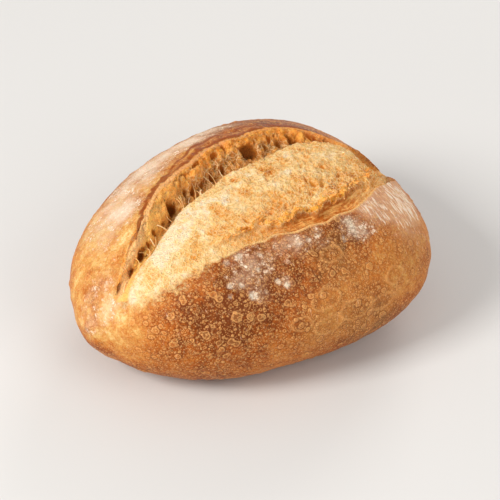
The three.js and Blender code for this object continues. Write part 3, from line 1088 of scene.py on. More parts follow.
        soft, spill = along(self.soft_edge, place.x), along(self.spill, place.x)
        wander = 1.0 + self.wander.at(place.points)
        opening = smoothstep(width, *self.crumb_width)
        opening *= on_top & (from_ear > score.lip_tolerance)
        edge = bell((from_front - self.edge_at) / self.edge_reach)
        along_lip, shelf = on_top * opened**self.rim_taper, along(score.shelf, place.x)
        stains = place.cover(self.toast.stains)
        masks = {
            Mask.CRUMB: opening * smoothstep(from_front, -spill * wander, soft * wander),
            # the pores' depth, which the finish paints as shade, plus two real stains
            Mask.PORE: np.where(torn, pores / self.deep_pore + stains, 0.0),
            Mask.RELIEF: np.where(torn, np.clip(texture + lumps, -1.0, 1.0), 0.0),
            Mask.BLISTER: np.where(torn, 0.0, nearness),
            Mask.WRINKLE: np.where(torn, 0.0, wrinkles),
            Mask.BAKE: self.bake.bake(place),
            Mask.FLOUR: place.cover(self.bake.flour),
            Mask.STREAK: place.cover(self.bake.streaks),
            Mask.TOAST: self.toast.toast(place, score),
            Mask.RIM: along_lip * self.rim_weight(place),
            Mask.EDGE: on_top * shelf * edge,
            Mask.BAND: torn * shelf * along(self.toast.band, place.x),
            Mask.BROW: along_lip * self.brow_weight(place),
            Mask.CLUMP: place.cover(self.bake.clumps),
            # painted light for the torn wall at the narrow end
            Mask.TIP: np.where(torn, along(self.tip, place.x), 0.0),
            Mask.OCHRE: place.cover(self.bake.ochre),
            Mask.FROM_EAR: from_ear,
            Mask.FROM_LIP: from_front,
            Mask.LEDGE: score.ledge(place, from_front),
        }
        height = place.cover(crust.swells) + np.where(torn, crumb, skin)
        sunk = (pores - lumps)[:, None]
        return place.normals * height[:, None] + score.carve(place) * sunk, masks

    def rim_weight(self, place: LippedPlace) -> Array:
        """The brown line along the ear, which splits in two where it is wide.

        Args:
            place: Points of the dome.

        Returns:
            Weights from 0 to 1.
        """
        inner, outer = along(self.rim_inner, place.x), along(self.rim_outer, place.x)
        half = (inner - outer) / 2.0
        middle = (inner + outer) / 2.0
        off = np.abs(place.from_ear + self.rim_fray.at(place.points) - middle) / half
        parting = smoothstep(half, *self.parting_width)
        parting *= self.parting_strength * (1.0 - smoothstep(off, *self.parting_fade))
        patchy = along(self.rim_strength, place.x) * (1.0 + self.rim_patchy.at(place.points))
        return (1.0 - smoothstep(off, *self.rim_fade)) * (1.0 - parting) * patchy

    def brow_weight(self, place: LippedPlace) -> Array:
        """The weight of the pale strip between the brown line and the torn wall."""
        away = place.from_ear - along(self.rim_inner, place.x) - self.brow_gap
        return along(self.brow, place.x) * bell(away / self.brow_reach)

    def surface(self, place: Place) -> tuple[Array, dict[Mask, Array]]:
        """The skin's points in millimetres, centred as the dome is, and its weights."""
        moves, masks = self.relief(self.lipped(place))
        return self.dome.rest_flat(place.points + moves), masks

    def turn_at(
        self, x: Array, from_ear: Array | float | None, from_front: Array | float = 0.0
    ) -> Array:
        """Finds the turn at a distance from one of the lips.

        Args:
            x: Places along the roll.
            from_ear: Distance over the skin from the ear, or None to go by the front lip.
            from_front: Distance over the skin from the front lip.

        Returns:
            The turns.
        """
        ear, front = self.score.lips(x, self.dome)
        lip, away = (front, from_front) if from_ear is None else (ear, -from_ear)
        turn = lip
        for _ in range(self.turn_rounds):
            turn = lip + np.degrees(away / np.maximum(self.dome.skin(x, turn).radius, 1.0))
        return turn

    def points_at(self, x: Array, turn: Array) -> Array:
        """Points of the finished skin, in metres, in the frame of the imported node."""
        return self.surface(self.dome.skin(x, turn))[0] * MM + np.array(self.shift)

    def build(self) -> bpy.types.Object:
        """Makes the roll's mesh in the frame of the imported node.

        Returns:
            The roll, without a finish.
        """
        mesh = self.cube()
        place = self.places(np.array([vert.co[:] for vert in mesh.verts]))
        points, masks = self.surface(place)
        low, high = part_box(NODE)
        middle = (points.min(axis=0) + points.max(axis=0)) / 2.0 * MM
        across = ((low[i] + high[i]) / 2.0 - middle[i] for i in (0, 1))
        self.shift = Vector((*across, 0.0))
        return smooth_piece("roll", mesh, points * MM + np.array(self.shift), masks)


# ---------------------------------------------------------------- shreds of crumb


@dataclass
class Strands:
    """Curved tapering strands, each grown from a subdivided cone."""

    sides: int = 5
    joints: int = 6
    waist: float = 0.45
    point: float = 0.85
    guide: Triple = (0.31, 0.27, 0.91)
    points: list[Array] = field(default_factory=list)
    toast: list[float] = field(default_factory=list)

    def template(self) -> bpy.types.Mesh:
        """A cone along z, from 0 to 1, with rings to bend it at.

        Returns:
            The cone's mesh.
        """
        cone = bmesh.new()
        bmesh.ops.create_cone(
            cone, cap_ends=True, segments=self.sides, radius1=1.0, radius2=1.0, depth=1.0
        )
        bmesh.ops.subdivide_edges(cone, edges=edges_along(cone, 2), cuts=self.joints - 1)
        bmesh.ops.translate(cone, verts=cone.verts, vec=(0.0, 0.0, 0.5))
        mesh = bpy.data.meshes.new("strand")
        cone.to_mesh(mesh)
        cone.free()
        return mesh

    def grow(self, path: Array, thick: float, pointed: bool, toast: float, rings: Array) -> None:
        """Bends one cone along a curve.

        Args:
            path: The curve's start, middle and end, in metres, one row each.
            thick: Its radius at the start, in metres.
            pointed: Whether it ends in a point, or is thin in the middle instead.
            toast: How toasted it is, 0 to 1.
            rings: The template's points.
        """
        t = rings[:, 2:3]
        start, middle, end = path
        centre = (1 - t) ** 2 * start + 2 * t * (1 - t) * middle + t * t * end
        course = end - start
        side = np.cross(course, self.guide)
        side /= np.linalg.norm(side)
        other = np.cross(course, side)
        other /= np.linalg.norm(other)
        taper = 1.0 - (self.point * t if pointed else self.waist * np.sin(math.pi * t))
        self.points.append(centre + thick * taper * (rings[:, 0:1] * side + rings[:, 1:2] * other))
        self.toast.append(toast)

    def mesh(self, template: bpy.types.Mesh, name: str) -> bpy.types.Object:
        """Puts all strands in one mesh.

        Args:
            template: The cone's mesh.
            name: The piece's name.

        Returns:
            The piece, without a finish.
        """
        piece = bmesh.new()
        for _ in self.points:
            piece.from_mesh(template)
        toast = np.repeat(self.toast, len(template.vertices))
        return smooth_piece(name, piece, np.concatenate(self.points), {Mask.TOAST: toast})


@dataclass
class Shreds:
    """The fine shreds that stand on the torn crumb: bridges over the valley, wisps and peaks."""

    roll: Roll
    last_bridge: float = 10.0
    bridge_spread: float = 0.7
    loose_bridges: int = 8
    loose_along: Span = (-50.0, 10.0)
    bridge_start: Span = (0.6, 0.85)
    bridge_drift: Span = (-2.5, 2.5)
    bridge_end: Span = (0.4, 2.0)
    bridge_lean: Span = (-1.8, 1.8)
    bridge_rise: Span = (0.2, 1.4)
    bridge_thick: Span = (0.14, 0.34)
    bridge_toast: Span = (0.1, 0.45)
    wisps: int = 900
    wisp_along: Span = (-44.0, 50.0)
    wisp_power: float = 0.7
    wisp_from_ear: float = 8.5
    wisp_from_front: float = 6.5
    wisp_room: float = 8.0
    wisp_turn: Span = (-1.2, 1.2)
    wisp_length: Span = (0.9, 2.8)
    wisp_length_power: float = 1.5
    wisp_radius: float = 30.0
    wisp_bend: tuple[Span, Span, Span] = ((-0.6, 0.6), (0.3, -0.3), (0.35, 0.7))
    wisp_thick: Span = (0.06, 0.13)
    wisp_toast: Span = (0.6, 0.2)
    peaks: int = 130
    peak_along: Span = (-20.0, 48.0)
    peak_away: Span = (0.2, 1.8)
    peak_tip: tuple[Span, Span, Span] = ((-0.9, 0.9), (-0.4, -1.1), (0.3, 1.0))
    peak_thick: Span = (0.28, 0.58)
    peak_toast: Span = (0.35, 0.7)
    sink: float = 0.12
    seed: int = 11

    def build(self) -> bpy.types.Object:
        """Grows all shreds.

        Returns:
            The shreds as one piece, without a finish.
        """
        draw = np.random.default_rng(self.seed)
        strands = Strands()
        template = strands.template()
        rings = np.array([vert.co[:] for vert in template.vertices])
        self.grow_bridges(draw, strands, rings)
        self.grow_wisps(draw, strands, rings)
        self.grow_peaks(draw, strands, rings)
        piece = strands.mesh(template, "shreds")
        bpy.data.meshes.remove(template)
        return piece

    def toast_at(self, x: Array, turn: Array) -> Array:
        """How toasted the crumb is at places."""
        place = self.roll.lipped(self.roll.dome.skin(x, turn))
        return self.roll.toast.toast(place, self.roll.score)

    def grow_bridges(self, draw: np.random.Generator, strands: Strands, rings: Array) -> None:
        """Spans strands over the valley, mostly between one pore and the next.

        Args:
            draw: The seeded source of chance.
            strands: Takes the strands.
            rings: The template's points.
        """
        pores = np.array([pore.x for pore in self.roll.score.pores])
        gaps = (pores[1:] + pores[:-1]) / 2.0
        gaps = gaps[gaps < self.last_bridge]
        gaps = gaps + self.bridge_spread * draw.standard_normal(len(gaps))
        loose = within(self.loose_along, draw.random(self.loose_bridges))
        x = np.concatenate([gaps, loose])
        wall = along(self.roll.score.wall_width, x)
        start_turn = self.roll.turn_at(x, wall * within(self.bridge_start, draw.random(len(x))))
        far = x + within(self.bridge_drift, draw.random(len(x)))
        end_turn = self.roll.turn_at(far, wall + within(self.bridge_end, draw.random(len(x))))
        start, end = self.roll.points_at(x, start_turn), self.roll.points_at(far, end_turn)
        for a, b, c, s in zip(start, end, *draw.random((2, len(x)))):
            bend = (within(self.bridge_lean, c), 0.0, within(self.bridge_rise, s))
            path = np.stack([a, (a + b) / 2.0 + np.array(bend) * MM, b])
            thick = within(self.bridge_thick, s) * MM
            strands.grow(path, thick, False, within(self.bridge_toast, c), rings)

    def grow_wisps(self, draw: np.random.Generator, strands: Strands, rings: Array) -> None:
        """Lays small curved strands on the bloom.

        Args:
            draw: The seeded source of chance.
            strands: Takes the strands.
            rings: The template's points.
        """
        x = within(self.wisp_along, draw.random(self.wisps) ** self.wisp_power)
        ear = self.roll.turn_at(x, self.wisp_from_ear)
        front = self.roll.turn_at(x, None, self.wisp_from_front)
        turn = front + (ear - front) * draw.random(len(x))
        keep = ear - front > self.wisp_room
        x, turn = x[keep], turn[keep]
        course = math.pi / 2.0 + within(self.wisp_turn, draw.random(len(x)))
        length = within(self.wisp_length, draw.random(len(x)) ** self.wisp_length_power)
        around = np.degrees(length * np.sin(course) / self.wisp_radius)
        start = self.roll.points_at(x, turn)
        end = self.roll.points_at(x + length * np.cos(course), turn - around)
        toast = self.toast_at(x, turn)
        sink = np.array((0.0, 0.0, self.sink * MM))
        own, added = self.wisp_toast
        for a, b, t, c, up in zip(start, end, toast, *draw.random((2, len(x)))):
            bend = [within(span, share) for span, share in zip(self.wisp_bend, (c, c, up))]
            path = np.stack([a - sink, (a + b) / 2.0 + np.array(bend) * MM, b - sink])
            thick = within(self.wisp_thick, c) * MM
            strands.grow(path, thick, False, own * t + added * up, rings)

    def grow_peaks(self, draw: np.random.Generator, strands: Strands, rings: Array) -> None:
        """Sets ragged points along the shelf's ridge.

        Args:
            draw: The seeded source of chance.
            strands: Takes the strands.
            rings: The template's points.
        """
        x = within(self.peak_along, draw.random(self.peaks))
        band = self.roll.score.band_width
        place = self.roll.dome.skin(x, self.roll.turn_at(x, None, band))
        ledge = band + self.roll.score.ledge(place, band)
        away = ledge + within(self.peak_away, draw.random(len(x)))
        start = self.roll.points_at(x, self.roll.turn_at(x, None, away))
        sink = np.array((0.0, 0.0, 2.0 * self.sink * MM))
        for a, *shares in zip(start, *draw.random((3, len(x)))):
            tip = [within(span, share) for span, share in zip(self.peak_tip, shares)]
            tip = np.array(tip) * MM
            path = np.stack([a - sink, a - sink + 0.5 * tip, a + tip])
            thick = within(self.peak_thick, shares[0]) * MM
            strands.grow(path, thick, True, within(self.peak_toast, shares[0]), rings)


# ---------------------------------------------------------------- finishes


def tint(code: str) -> Colour:
    """A colour as the shader reads it.

    Args:
        code: Six hexadecimal digits, as on a screen.

    Returns:
        Linear red, green, blue and alpha.
    """
    channels = [int(code[i : i + 2], 16) / 255.0 for i in (0, 2, 4)]
    linear = [c / 12.92 if c <= 0.04045 else ((c + 0.055) / 1.055) ** 2.4 for c in channels]
    return (*linear, 1.0)


def new_material(name: str) -> tuple[bpy.types.Material, bpy.types.Node]:
    """Makes a material of shader nodes.

    Args:
        name: The material's name.

    Returns:
        The material and its shader.
    """
    material = bpy.data.materials.new(name)
    material.use_nodes = True
    return material, material.node_tree.nodes["Principled BSDF"]


@dataclass(frozen=True)
class Grit:
    """A layer of shader noise: its wavelength in millimetres, its finer octaves, its strength."""

    size: float
    detail: float = 3.0
    rough: float = 0.6
    strength: float = 1.0


@dataclass(frozen=True)
class Patch:
    """A patch with a ragged edge: one of the mesh's weights, made uneven and then stepped."""

    mask: Mask
    grit: Grit
    rise: Span
    share: float = 1.0
    gain: float = 1.0


@dataclass(frozen=True)
class Coat:
    """A paint, how much of it covers, and the values between which a pattern lays it on."""

    code: str
    share: float
    rise: Span | None = None
    blend: str = "MIX"


@dataclass(frozen=True)
class Signal:
    """An output in a shader, with arithmetic for values and paint for colours."""

    tree: bpy.types.NodeTree
    socket: bpy.types.NodeSocket

    def node(self, kind: str, *values: Signal | float | Colour) -> bpy.types.Node:
        """Adds a node and feeds its first inputs.

        Args:
            kind: The node's type.
            values: What goes into its inputs, in their order.

        Returns:
            The node.
        """
        node = self.tree.nodes.new(kind)
        for socket, value in zip(node.inputs, values):
            feed(self.tree, socket, value)
        return node

    def combined(self, operation: str, other: Signal | float) -> Signal:
        """Combines this value with another one.

        Args:
            operation: The math node's operation.
            other: The other value.

        Returns:
            The result.
        """
        node = self.node("ShaderNodeMath", self, other)
        node.operation = operation
        return Signal(self.tree, node.outputs["Value"])

    def __add__(self, other: Signal | float) -> Signal:
        """The sum of two values."""
        return self.combined("ADD", other)

    def __sub__(self, other: Signal | float) -> Signal:
        """The difference of two values."""
        return self.combined("SUBTRACT", other)

    def __mul__(self, other: Signal | float) -> Signal:
        """The product of two values."""
        return self.combined("MULTIPLY", other)

    def __truediv__(self, other: Signal | float) -> Signal:
        """The quotient of two values."""
        return self.combined("DIVIDE", other)

    def larger(self, other: Signal | float) -> Signal:
        """The larger of two values."""
        return self.combined("MAXIMUM", other)

    def step(self, low: float, high: float) -> Signal:
        """A smooth rise from 0 to 1, or a fall where low is above high.

        Args:
            low: Where the result is 0.
            high: Where the result is 1.

        Returns:
            The result.
        """
        node = self.node("ShaderNodeMapRange", self)
        node.interpolation_type = "SMOOTHSTEP"
        node.inputs["From Min"].default_value = min(low, high)
        node.inputs["From Max"].default_value = max(low, high)
        node.inputs["To Min"].default_value = 0.0 if low < high else 1.0
        node.inputs["To Max"].default_value = 1.0 if low < high else 0.0
        return Signal(self.tree, node.outputs["Result"])

    def band(self, rise: Span, fall: Span) -> Signal:
        """A band: 1 between a rise from 0 and a fall back to it."""
        return self.step(*rise) * self.step(*fall)

    def within(self, low: float, high: float) -> Signal:
        """Stretches this value, so that 0 becomes the low value and 1 the high one."""
        return self * (high - low) + low

    def between(self, first: Signal | float, second: Signal | float) -> Signal:
        """Mixes two values by this one.

        Args:
            first: The result where this value is 0.
            second: The result where this value is 1.

        Returns:
            The mixed value.
        """
        node = self.node("ShaderNodeMix", self)
        for place, value in zip(MIX_VALUES, (first, second)):
            feed(self.tree, node.inputs[place], value)
        return Signal(self.tree, node.outputs[0])

    def ramp(self, stops: Run) -> Signal:
        """A run of colours, read at this value.

        Args:
            stops: Pairs of place and colour code.

        Returns:
            The colour.
        """
        node = self.node("ShaderNodeValToRGB", self)
        elements = node.color_ramp.elements
        while len(elements) < len(stops):
            elements.new(0.5)
        for element, (place, code) in zip(elements, stops):
            element.position = place
            element.color = tint(code)
        return Signal(self.tree, node.outputs["Color"])

    def painted(self, share: Signal | float, paint: Signal | str, blend: str = "MIX") -> Signal:
        """Paints over this colour.

        Args:
            share: How much of the paint covers it.
            paint: The paint, as a colour code or an output.
            blend: How the paint mixes.

        Returns:
            The painted colour.
        """
        node = self.node("ShaderNodeMix", share)
        node.data_type = "RGBA"
        node.blend_type = blend
        paint = tint(paint) if isinstance(paint, str) else paint
        for place, colour in zip(MIX_COLOURS, (self, paint)):
            feed(self.tree, node.inputs[place], colour)
        return Signal(self.tree, node.outputs[MIXED_COLOUR])

    def coated(self, coat: Coat, pattern: Signal, where: Signal | None = None) -> Signal:
        """Lays a coat over this colour.

        Args:
            coat: The coat.
            pattern: The pattern that it follows.
            where: A weight that limits it, or None for everywhere.

        Returns:
            The painted colour.
        """
        share = pattern.step(*coat.rise) if coat.rise else pattern
        share = share if where is None else where * share
        return self.painted(share * coat.share, coat.code, coat.blend)


def feed(
    tree: bpy.types.NodeTree, socket: bpy.types.NodeSocket, value: Signal | float | Colour
) -> None:
    """Sets an input, or links it.

    Args:
        tree: The shader's nodes.
        socket: The input.
        value: A number, a colour or an output.
    """
    if isinstance(value, Signal):
        tree.links.new(value.socket, socket)
    else:
        socket.default_value = value


@dataclass(frozen=True)
class Foam:
    """A Voronoi pattern: the distance from the nearest cell's middle and two random values."""

    distance: Signal
    random: Signal
    other_random: Signal


@dataclass(frozen=True)
class Patterns:
    """The patterns that the finishes draw on, all in millimetres of object space."""

    tree: bpy.types.NodeTree

    def weight(self, mask: Mask) -> Signal:
        """Reads one of the mesh's weights.

        Args:
            mask: The weight's name.

        Returns:
            The weight.
        """
        node = self.tree.nodes.new("ShaderNodeAttribute")
        node.attribute_name = mask.value
        return Signal(self.tree, node.outputs["Fac"])

    def position(self, stretch: Triple = (1.0, 1.0, 1.0)) -> Signal:
        """Object coordinates in millimetres, stretched.

        Args:
            stretch: A factor for each axis.

        Returns:
            The coordinates.
        """
        coordinates = self.tree.nodes.new("ShaderNodeTexCoord")
        mapping = self.tree.nodes.new("ShaderNodeMapping")
        mapping.inputs["Scale"].default_value = [factor / MM for factor in stretch]
        self.tree.links.new(coordinates.outputs["Object"], mapping.inputs["Vector"])
        return Signal(self.tree, mapping.outputs["Vector"])

    def wavy(self, size: float, reach: float) -> Signal:
        """Object coordinates in millimetres, bent by noise.

        Args:
            size: The noise's wavelength.
            reach: How far it bends.

        Returns:
            The coordinates.
        """
        noise_node = self.noise_node(Grit(size, 2.0, 0.5), None)
        bend = self.tree.nodes.new("ShaderNodeVectorMath")
        bend.operation = "MULTIPLY_ADD"
        self.tree.links.new(noise_node.outputs["Color"], bend.inputs[0])
        bend.inputs[1].default_value = (reach, reach, reach)
        self.tree.links.new(self.position().socket, bend.inputs[2])
        return Signal(self.tree, bend.outputs["Vector"])

    def along_edge(self, across: Mask, length: float, width: float) -> Signal:
        """Coordinates for a grain that runs along or across a lip.

        Args:
            across: The weight that holds the distance from the lip.
            length: The grain's size along the roll.
            width: The grain's size away from the lip.

        Returns:
            The coordinates, in units of the grain.
        """
        split = self.tree.nodes.new("ShaderNodeSeparateXYZ")
        self.tree.links.new(self.position().socket, split.inputs[0])
        join = self.tree.nodes.new("ShaderNodeCombineXYZ")
        x = Signal(self.tree, split.outputs["X"]) * (1.0 / length)
        self.tree.links.new(x.socket, join.inputs["X"])
        away = self.weight(across) * (1.0 / width)
        self.tree.links.new(away.socket, join.inputs["Y"])
        return Signal(self.tree, join.outputs["Vector"])

    def noise_node(self, grit: Grit, where: Signal | None) -> bpy.types.Node:
        """A noise node, as grain and wavy use it.

        Args:
            grit: The noise.
            where: Coordinates, or None for the plain ones.

        Returns:
            The node.
        """
        node = self.tree.nodes.new("ShaderNodeTexNoise")
        node.inputs["Scale"].default_value = 1.0 / grit.size
        node.inputs["Detail"].default_value = grit.detail
        node.inputs["Roughness"].default_value = grit.rough
        self.tree.links.new((where or self.position()).socket, node.inputs["Vector"])
        return node

    def grain(self, grit: Grit, where: Signal | None = None) -> Signal:
        """Noise around 0, about -0.3 to 0.3 at a strength of 1.

        Args:
            grit: The noise.
            where: Coordinates, or None for the plain ones.

        Returns:
            The noise.
        """
        node = self.noise_node(grit, where)
        return (Signal(self.tree, node.outputs["Fac"]) - 0.5) * grit.strength

    def patch(self, patch: Patch) -> Signal:
        """The weight of a patch with a ragged edge, from 0 to its share."""
        uneven = self.weight(patch.mask) * patch.gain + self.grain(patch.grit)
        return uneven.step(*patch.rise) * patch.share

    def foam(self, size: float, where: Signal) -> Foam:
        """Round cells of random kinds.

        Args:
            size: The cells' mean size.
            where: Coordinates.

        Returns:
            The pattern, with the distance in units of the size.
        """
        node = self.tree.nodes.new("ShaderNodeTexVoronoi")
        node.inputs["Scale"].default_value = 1.0 / size
        self.tree.links.new(where.socket, node.inputs["Vector"])
        split = self.tree.nodes.new("ShaderNodeSeparateColor")
        self.tree.links.new(node.outputs["Color"], split.inputs[0])
        outputs = node.outputs["Distance"], split.outputs["Red"], split.outputs["Green"]
        return Foam(*(Signal(self.tree, output) for output in outputs))

    def walls(self, size: float, where: Signal) -> Signal:
        """The distance from the walls between a foam's cells.

        Args:
            size: The cells' mean size.
            where: Coordinates.

        Returns:
            The distance in units of the size.
        """
        node = self.tree.nodes.new("ShaderNodeTexVoronoi")
        node.feature = "DISTANCE_TO_EDGE"
        node.inputs["Scale"].default_value = 1.0 / size
        self.tree.links.new(where.socket, node.inputs["Vector"])
        return Signal(self.tree, node.outputs["Distance"])


@dataclass(frozen=True)
class Layer:
    """What one finish gives to the shader."""

    colour: Signal
    roughness: Signal | float
    height: Signal


@dataclass(frozen=True)
class Beads:
    """One size of the tiny blisters that cover baked crust."""

    size: float
    least: float
    most: float
    strength: float
    height: float


@dataclass(frozen=True)
class CrustFinish:
    """Baked crust: gold to dark brown, blistered, with flour dusted over it."""

    run: Run = (
        (0.0, "EBCB8C"),
        (0.12, "E0B068"),
        (0.26, "D4954B"),
        (0.44, "C67630"),
        (0.68, "A45216"),
        (0.92, "6E320B"),
    )
    beads: tuple[Beads, ...] = (
        Beads(0.75, 0.25, 0.55, 0.5, 0.07),
        Beads(1.1, 0.2, 0.5, 0.5, 0.1),
        Beads(1.8, 0.12, 0.42, 0.48, 0.14),
    )
    mottle: Grit = Grit(3.4, 4.0, 0.62, 0.8)
    speck: Grit = Grit(0.75, 3.0, 0.6, 0.65)
    bend: Span = (1.6, 0.9)
    browned: Span = (0.2, 0.65)
    least_browned: float = 0.1
    bumps: Grit = Grit(0.9, 4.0, 0.6, 0.22)
    roughness: Span = (0.5, 0.9)

    freckles: Grit = Grit(1.5, 4.0, 0.7)
    freckle: Coat = Coat("BE6B25", 0.55, (0.06, 0.2))
    pallid: Grit = Grit(1.0, 3.0, 0.75)
    pallor: Coat = Coat("F2C485", 0.6, (0.06, 0.2))
    ochre: Coat = Coat("B98D4C", 0.55)
    crease_size: float = 2.4
    crease_bend: Span = (2.0, 2.8)
    crease_line: Span = (0.05, 0.0)
    crease_share: Span = (0.5, 0.05)
    crease: str = "BF7A36"

    bead_cap: Span = (1.0, 0.7)
    bead_ring: Band = ((0.5, 0.8), (1.15, 0.95))
    bead_kinds: Span = (0.5, 0.55)
    bead_halo: Band = ((1.7, 1.15), (0.95, 1.15))
    bead_slope: Span = (1.05, 0.2)
    bead_shade: Coat = Coat("6B3212", 0.4)
    # Paler dried caps on some beads, and painted highlight as a ring on others
    bead_pale_and_highlight: str = "E9A964"

    blister_halo: Band = ((0.0, 0.2), (0.36, 0.27))
    blister_ring: Band = ((0.28, 0.37), (0.58, 0.44))
    blister_shade: Coat = Coat("6B3212", 0.5)
    blister_top: Coat = Coat("E9A964", 0.14, (0.33, 0.5))
    # Painted highlight on the large blisters' rings and on the sunken ones' raised outlines
    blister_ring_highlight: Coat = Coat("E9A964", 0.5)
    wrinkle: Coat = Coat("E9A964", 0.4)

    dusty: Span = (0.1, 0.6)
    crack_size: float = 1.3
    crack_bend: Span = (1.1, 2.2)
    crack_line: Span = (0.18, 0.03)
    crack: Coat = Coat("6B3212", 0.85)
    furrow: Coat = Coat("A5653C", 0.8, (0.45, 0.0))
    veil: str = "D8A67C"
    flour: Coat = Coat("F4E4CC", 0.9)
    clump: Coat = Coat("EBDCC2", 0.72)
    clumps: Patch = Patch(Mask.CLUMP, Grit(1.4, 4.0, 0.65, 0.9), (0.1, 0.9))
    clump_cracks: Span = (1.0, 0.5)

    run_stretch: Triple = (1.0, 0.19, 0.19)
    run_streaks: Grit = Grit(0.7, 3.0, 0.6, 2.1)
    run_breaks: Grit = Grit(2.6, 3.0, 0.6, 0.4)
    run_gain: float = 0.42
    run_coat: Span = (0.26, 0.8)
    run_share: float = 0.93

    dust_share: float = 0.95
    dust_gaps: Span = (0.0, 0.2)
    gap_share: Span = (0.25, 1.0)
    thickness: Grit = Grit(2.6, 3.0, 0.6)
    thick: Span = (-0.06, 0.16)
    thin_share: Span = (0.35, 1.0)
    lumps: Patch = Patch(Mask.FLOUR, Grit(1.9, 4.0, 0.65), (0.1, 0.42), gain=0.55)
    coat: Patch = Patch(Mask.FLOUR, Grit(5.0, 5.0, 0.7, 1.6), (0.15, 1.5), 0.88)
    coat_gaps: Span = (0.77, 1.02)
    capped: Span = (0.3, 0.6)
    cap_dust: Span = (0.1, 0.5)
    cap_share: float = 0.75
    powder: Patch = Patch(Mask.STREAK, Grit(2.2, 4.0, 0.65, 1.4), (0.1, 1.1), 0.36)

    def layer(self, patterns: Patterns) -> Layer:
        """Builds the finish.

        Args:
            patterns: The material's patterns.

        Returns:
            Colour, roughness and height in millimetres.
        """
        where = patterns.wavy(*self.bend)
        base = patterns.weight(Mask.BAKE)
        browned = base.step(*self.browned).within(self.least_browned, 1.0)
        colour = (base + patterns.grain(self.mottle) + patterns.grain(self.speck)).ramp(self.run)
        colour = colour.coated(self.freckle, patterns.grain(self.freckles, where))
        colour = colour.coated(self.pallor, patterns.grain(self.pallid))
        colour = colour.coated(self.ochre, patterns.weight(Mask.OCHRE))
        creases = patterns.walls(self.crease_size, patterns.wavy(*self.crease_bend))
        creases = creases.step(*self.crease_line) * browned.within(*self.crease_share)
        colour = colour.painted(creases, self.crease)
        height = patterns.grain(self.bumps)
        for beads in self.beads:
            foam = patterns.foam(beads.size, where)
            ratio = foam.distance / (foam.random * foam.random).within(beads.least, beads.most)
            cap, ring = ratio.step(*self.bead_cap), ratio.band(*self.bead_ring)
            pale = foam.other_random.step(*self.bead_kinds).between(cap, ring)
            colour = colour.coated(self.bead_shade, ratio.band(*self.bead_halo) * browned)
            # Paler caps, and painted highlight on the rings
            colour = colour.painted(pale * browned * beads.strength, self.bead_pale_and_highlight)
            height = height + ratio.step(*self.bead_slope) * beads.height
        colour = self.blistered(colour, patterns, browned)
        colour, dust = self.floured(colour, patterns, browned)
        return Layer(colour, dust.between(*self.roughness), height)

    def blistered(self, colour: Signal, patterns: Patterns, browned: Signal) -> Signal:
        """Paints the larger blisters, with painted shade round them, paler tops and painted
        highlight on their rings, and painted highlight on the outlines of those that have sunk.

        Args:
            colour: The crust's colour.
            patterns: The material's patterns.
            browned: How brown the crust is, about 0 to 1.

        Returns:
            The painted colour.
        """
        blister = patterns.weight(Mask.BLISTER)
        halo, ring = blister.band(*self.blister_halo), blister.band(*self.blister_ring)
        colour = colour.coated(self.blister_shade, halo * browned)
        colour = colour.coated(self.blister_top, blister)
        # Painted highlight on the rings and on the sunken outlines
        colour = colour.coated(self.blister_ring_highlight, ring)
        return colour.coated(self.wrinkle, patterns.weight(Mask.WRINKLE))

    def floured(
        self, colour: Signal, patterns: Patterns, browned: Signal
    ) -> tuple[Signal, Signal]:
        """Dusts flour over the crust.

        Args:
            colour: The crust's colour.
            patterns: The material's patterns.
            browned: How brown the crust is, about 0 to 1.

        Returns:
            The painted colour, and where flour lies.
        """
        walls = patterns.walls(self.crack_size, patterns.wavy(*self.crack_bend))
        crack = walls.step(*self.crack_line)
        dusty = patterns.weight(Mask.FLOUR).step(*self.dusty)
        colour = colour.coated(self.crack, dusty * browned * crack)
        runs = self.runs(patterns)
        colour = colour.coated(self.furrow, runs, patterns.weight(Mask.STREAK))
        dust = self.dust(patterns, runs, walls)
        colour = colour.painted(dust, self.veil)
        colour = colour.coated(self.flour, dust * dust)
        clumps = patterns.patch(self.clumps) * crack.within(*self.clump_cracks)
        return colour.coated(self.clump, clumps), dust

    def runs(self, patterns: Patterns) -> Signal:
        """Thin streaks of flour that run around the roll.

        Args:
            patterns: The material's patterns.

        Returns:
            How strong they are, about 0 to 1.
        """
        across = patterns.grain(self.run_streaks, patterns.position(self.run_stretch))
        broken = patterns.grain(self.run_breaks)
        return patterns.weight(Mask.STREAK) * self.run_gain + across + broken

    def dust(self, patterns: Patterns, runs: Signal, walls: Signal) -> Signal:
        """Where flour lies.

        Args:
            patterns: The material's patterns.
            runs: The streaks of flour.
            walls: The distance from the cracks in the flour.

        Returns:
            A weight from 0 to 1.
        """
        cracks = walls.step(*self.dust_gaps).within(*self.gap_share)
        thick = patterns.grain(self.thickness).step(*self.thick).within(*self.thin_share)
        flour = patterns.weight(Mask.FLOUR)
        coat = patterns.patch(self.coat) * cracks.within(*self.coat_gaps)
        capped = patterns.weight(Mask.BLISTER).step(*self.capped) * flour
        capped = capped.step(*self.cap_dust) * thick * cracks * self.cap_share
        patches = (patterns.patch(self.lumps) * cracks * thick).larger(coat).larger(capped)
        streaked = patches.larger(runs.step(*self.run_coat) * self.run_share)
        return streaked.larger(patterns.patch(self.powder)) * self.dust_share


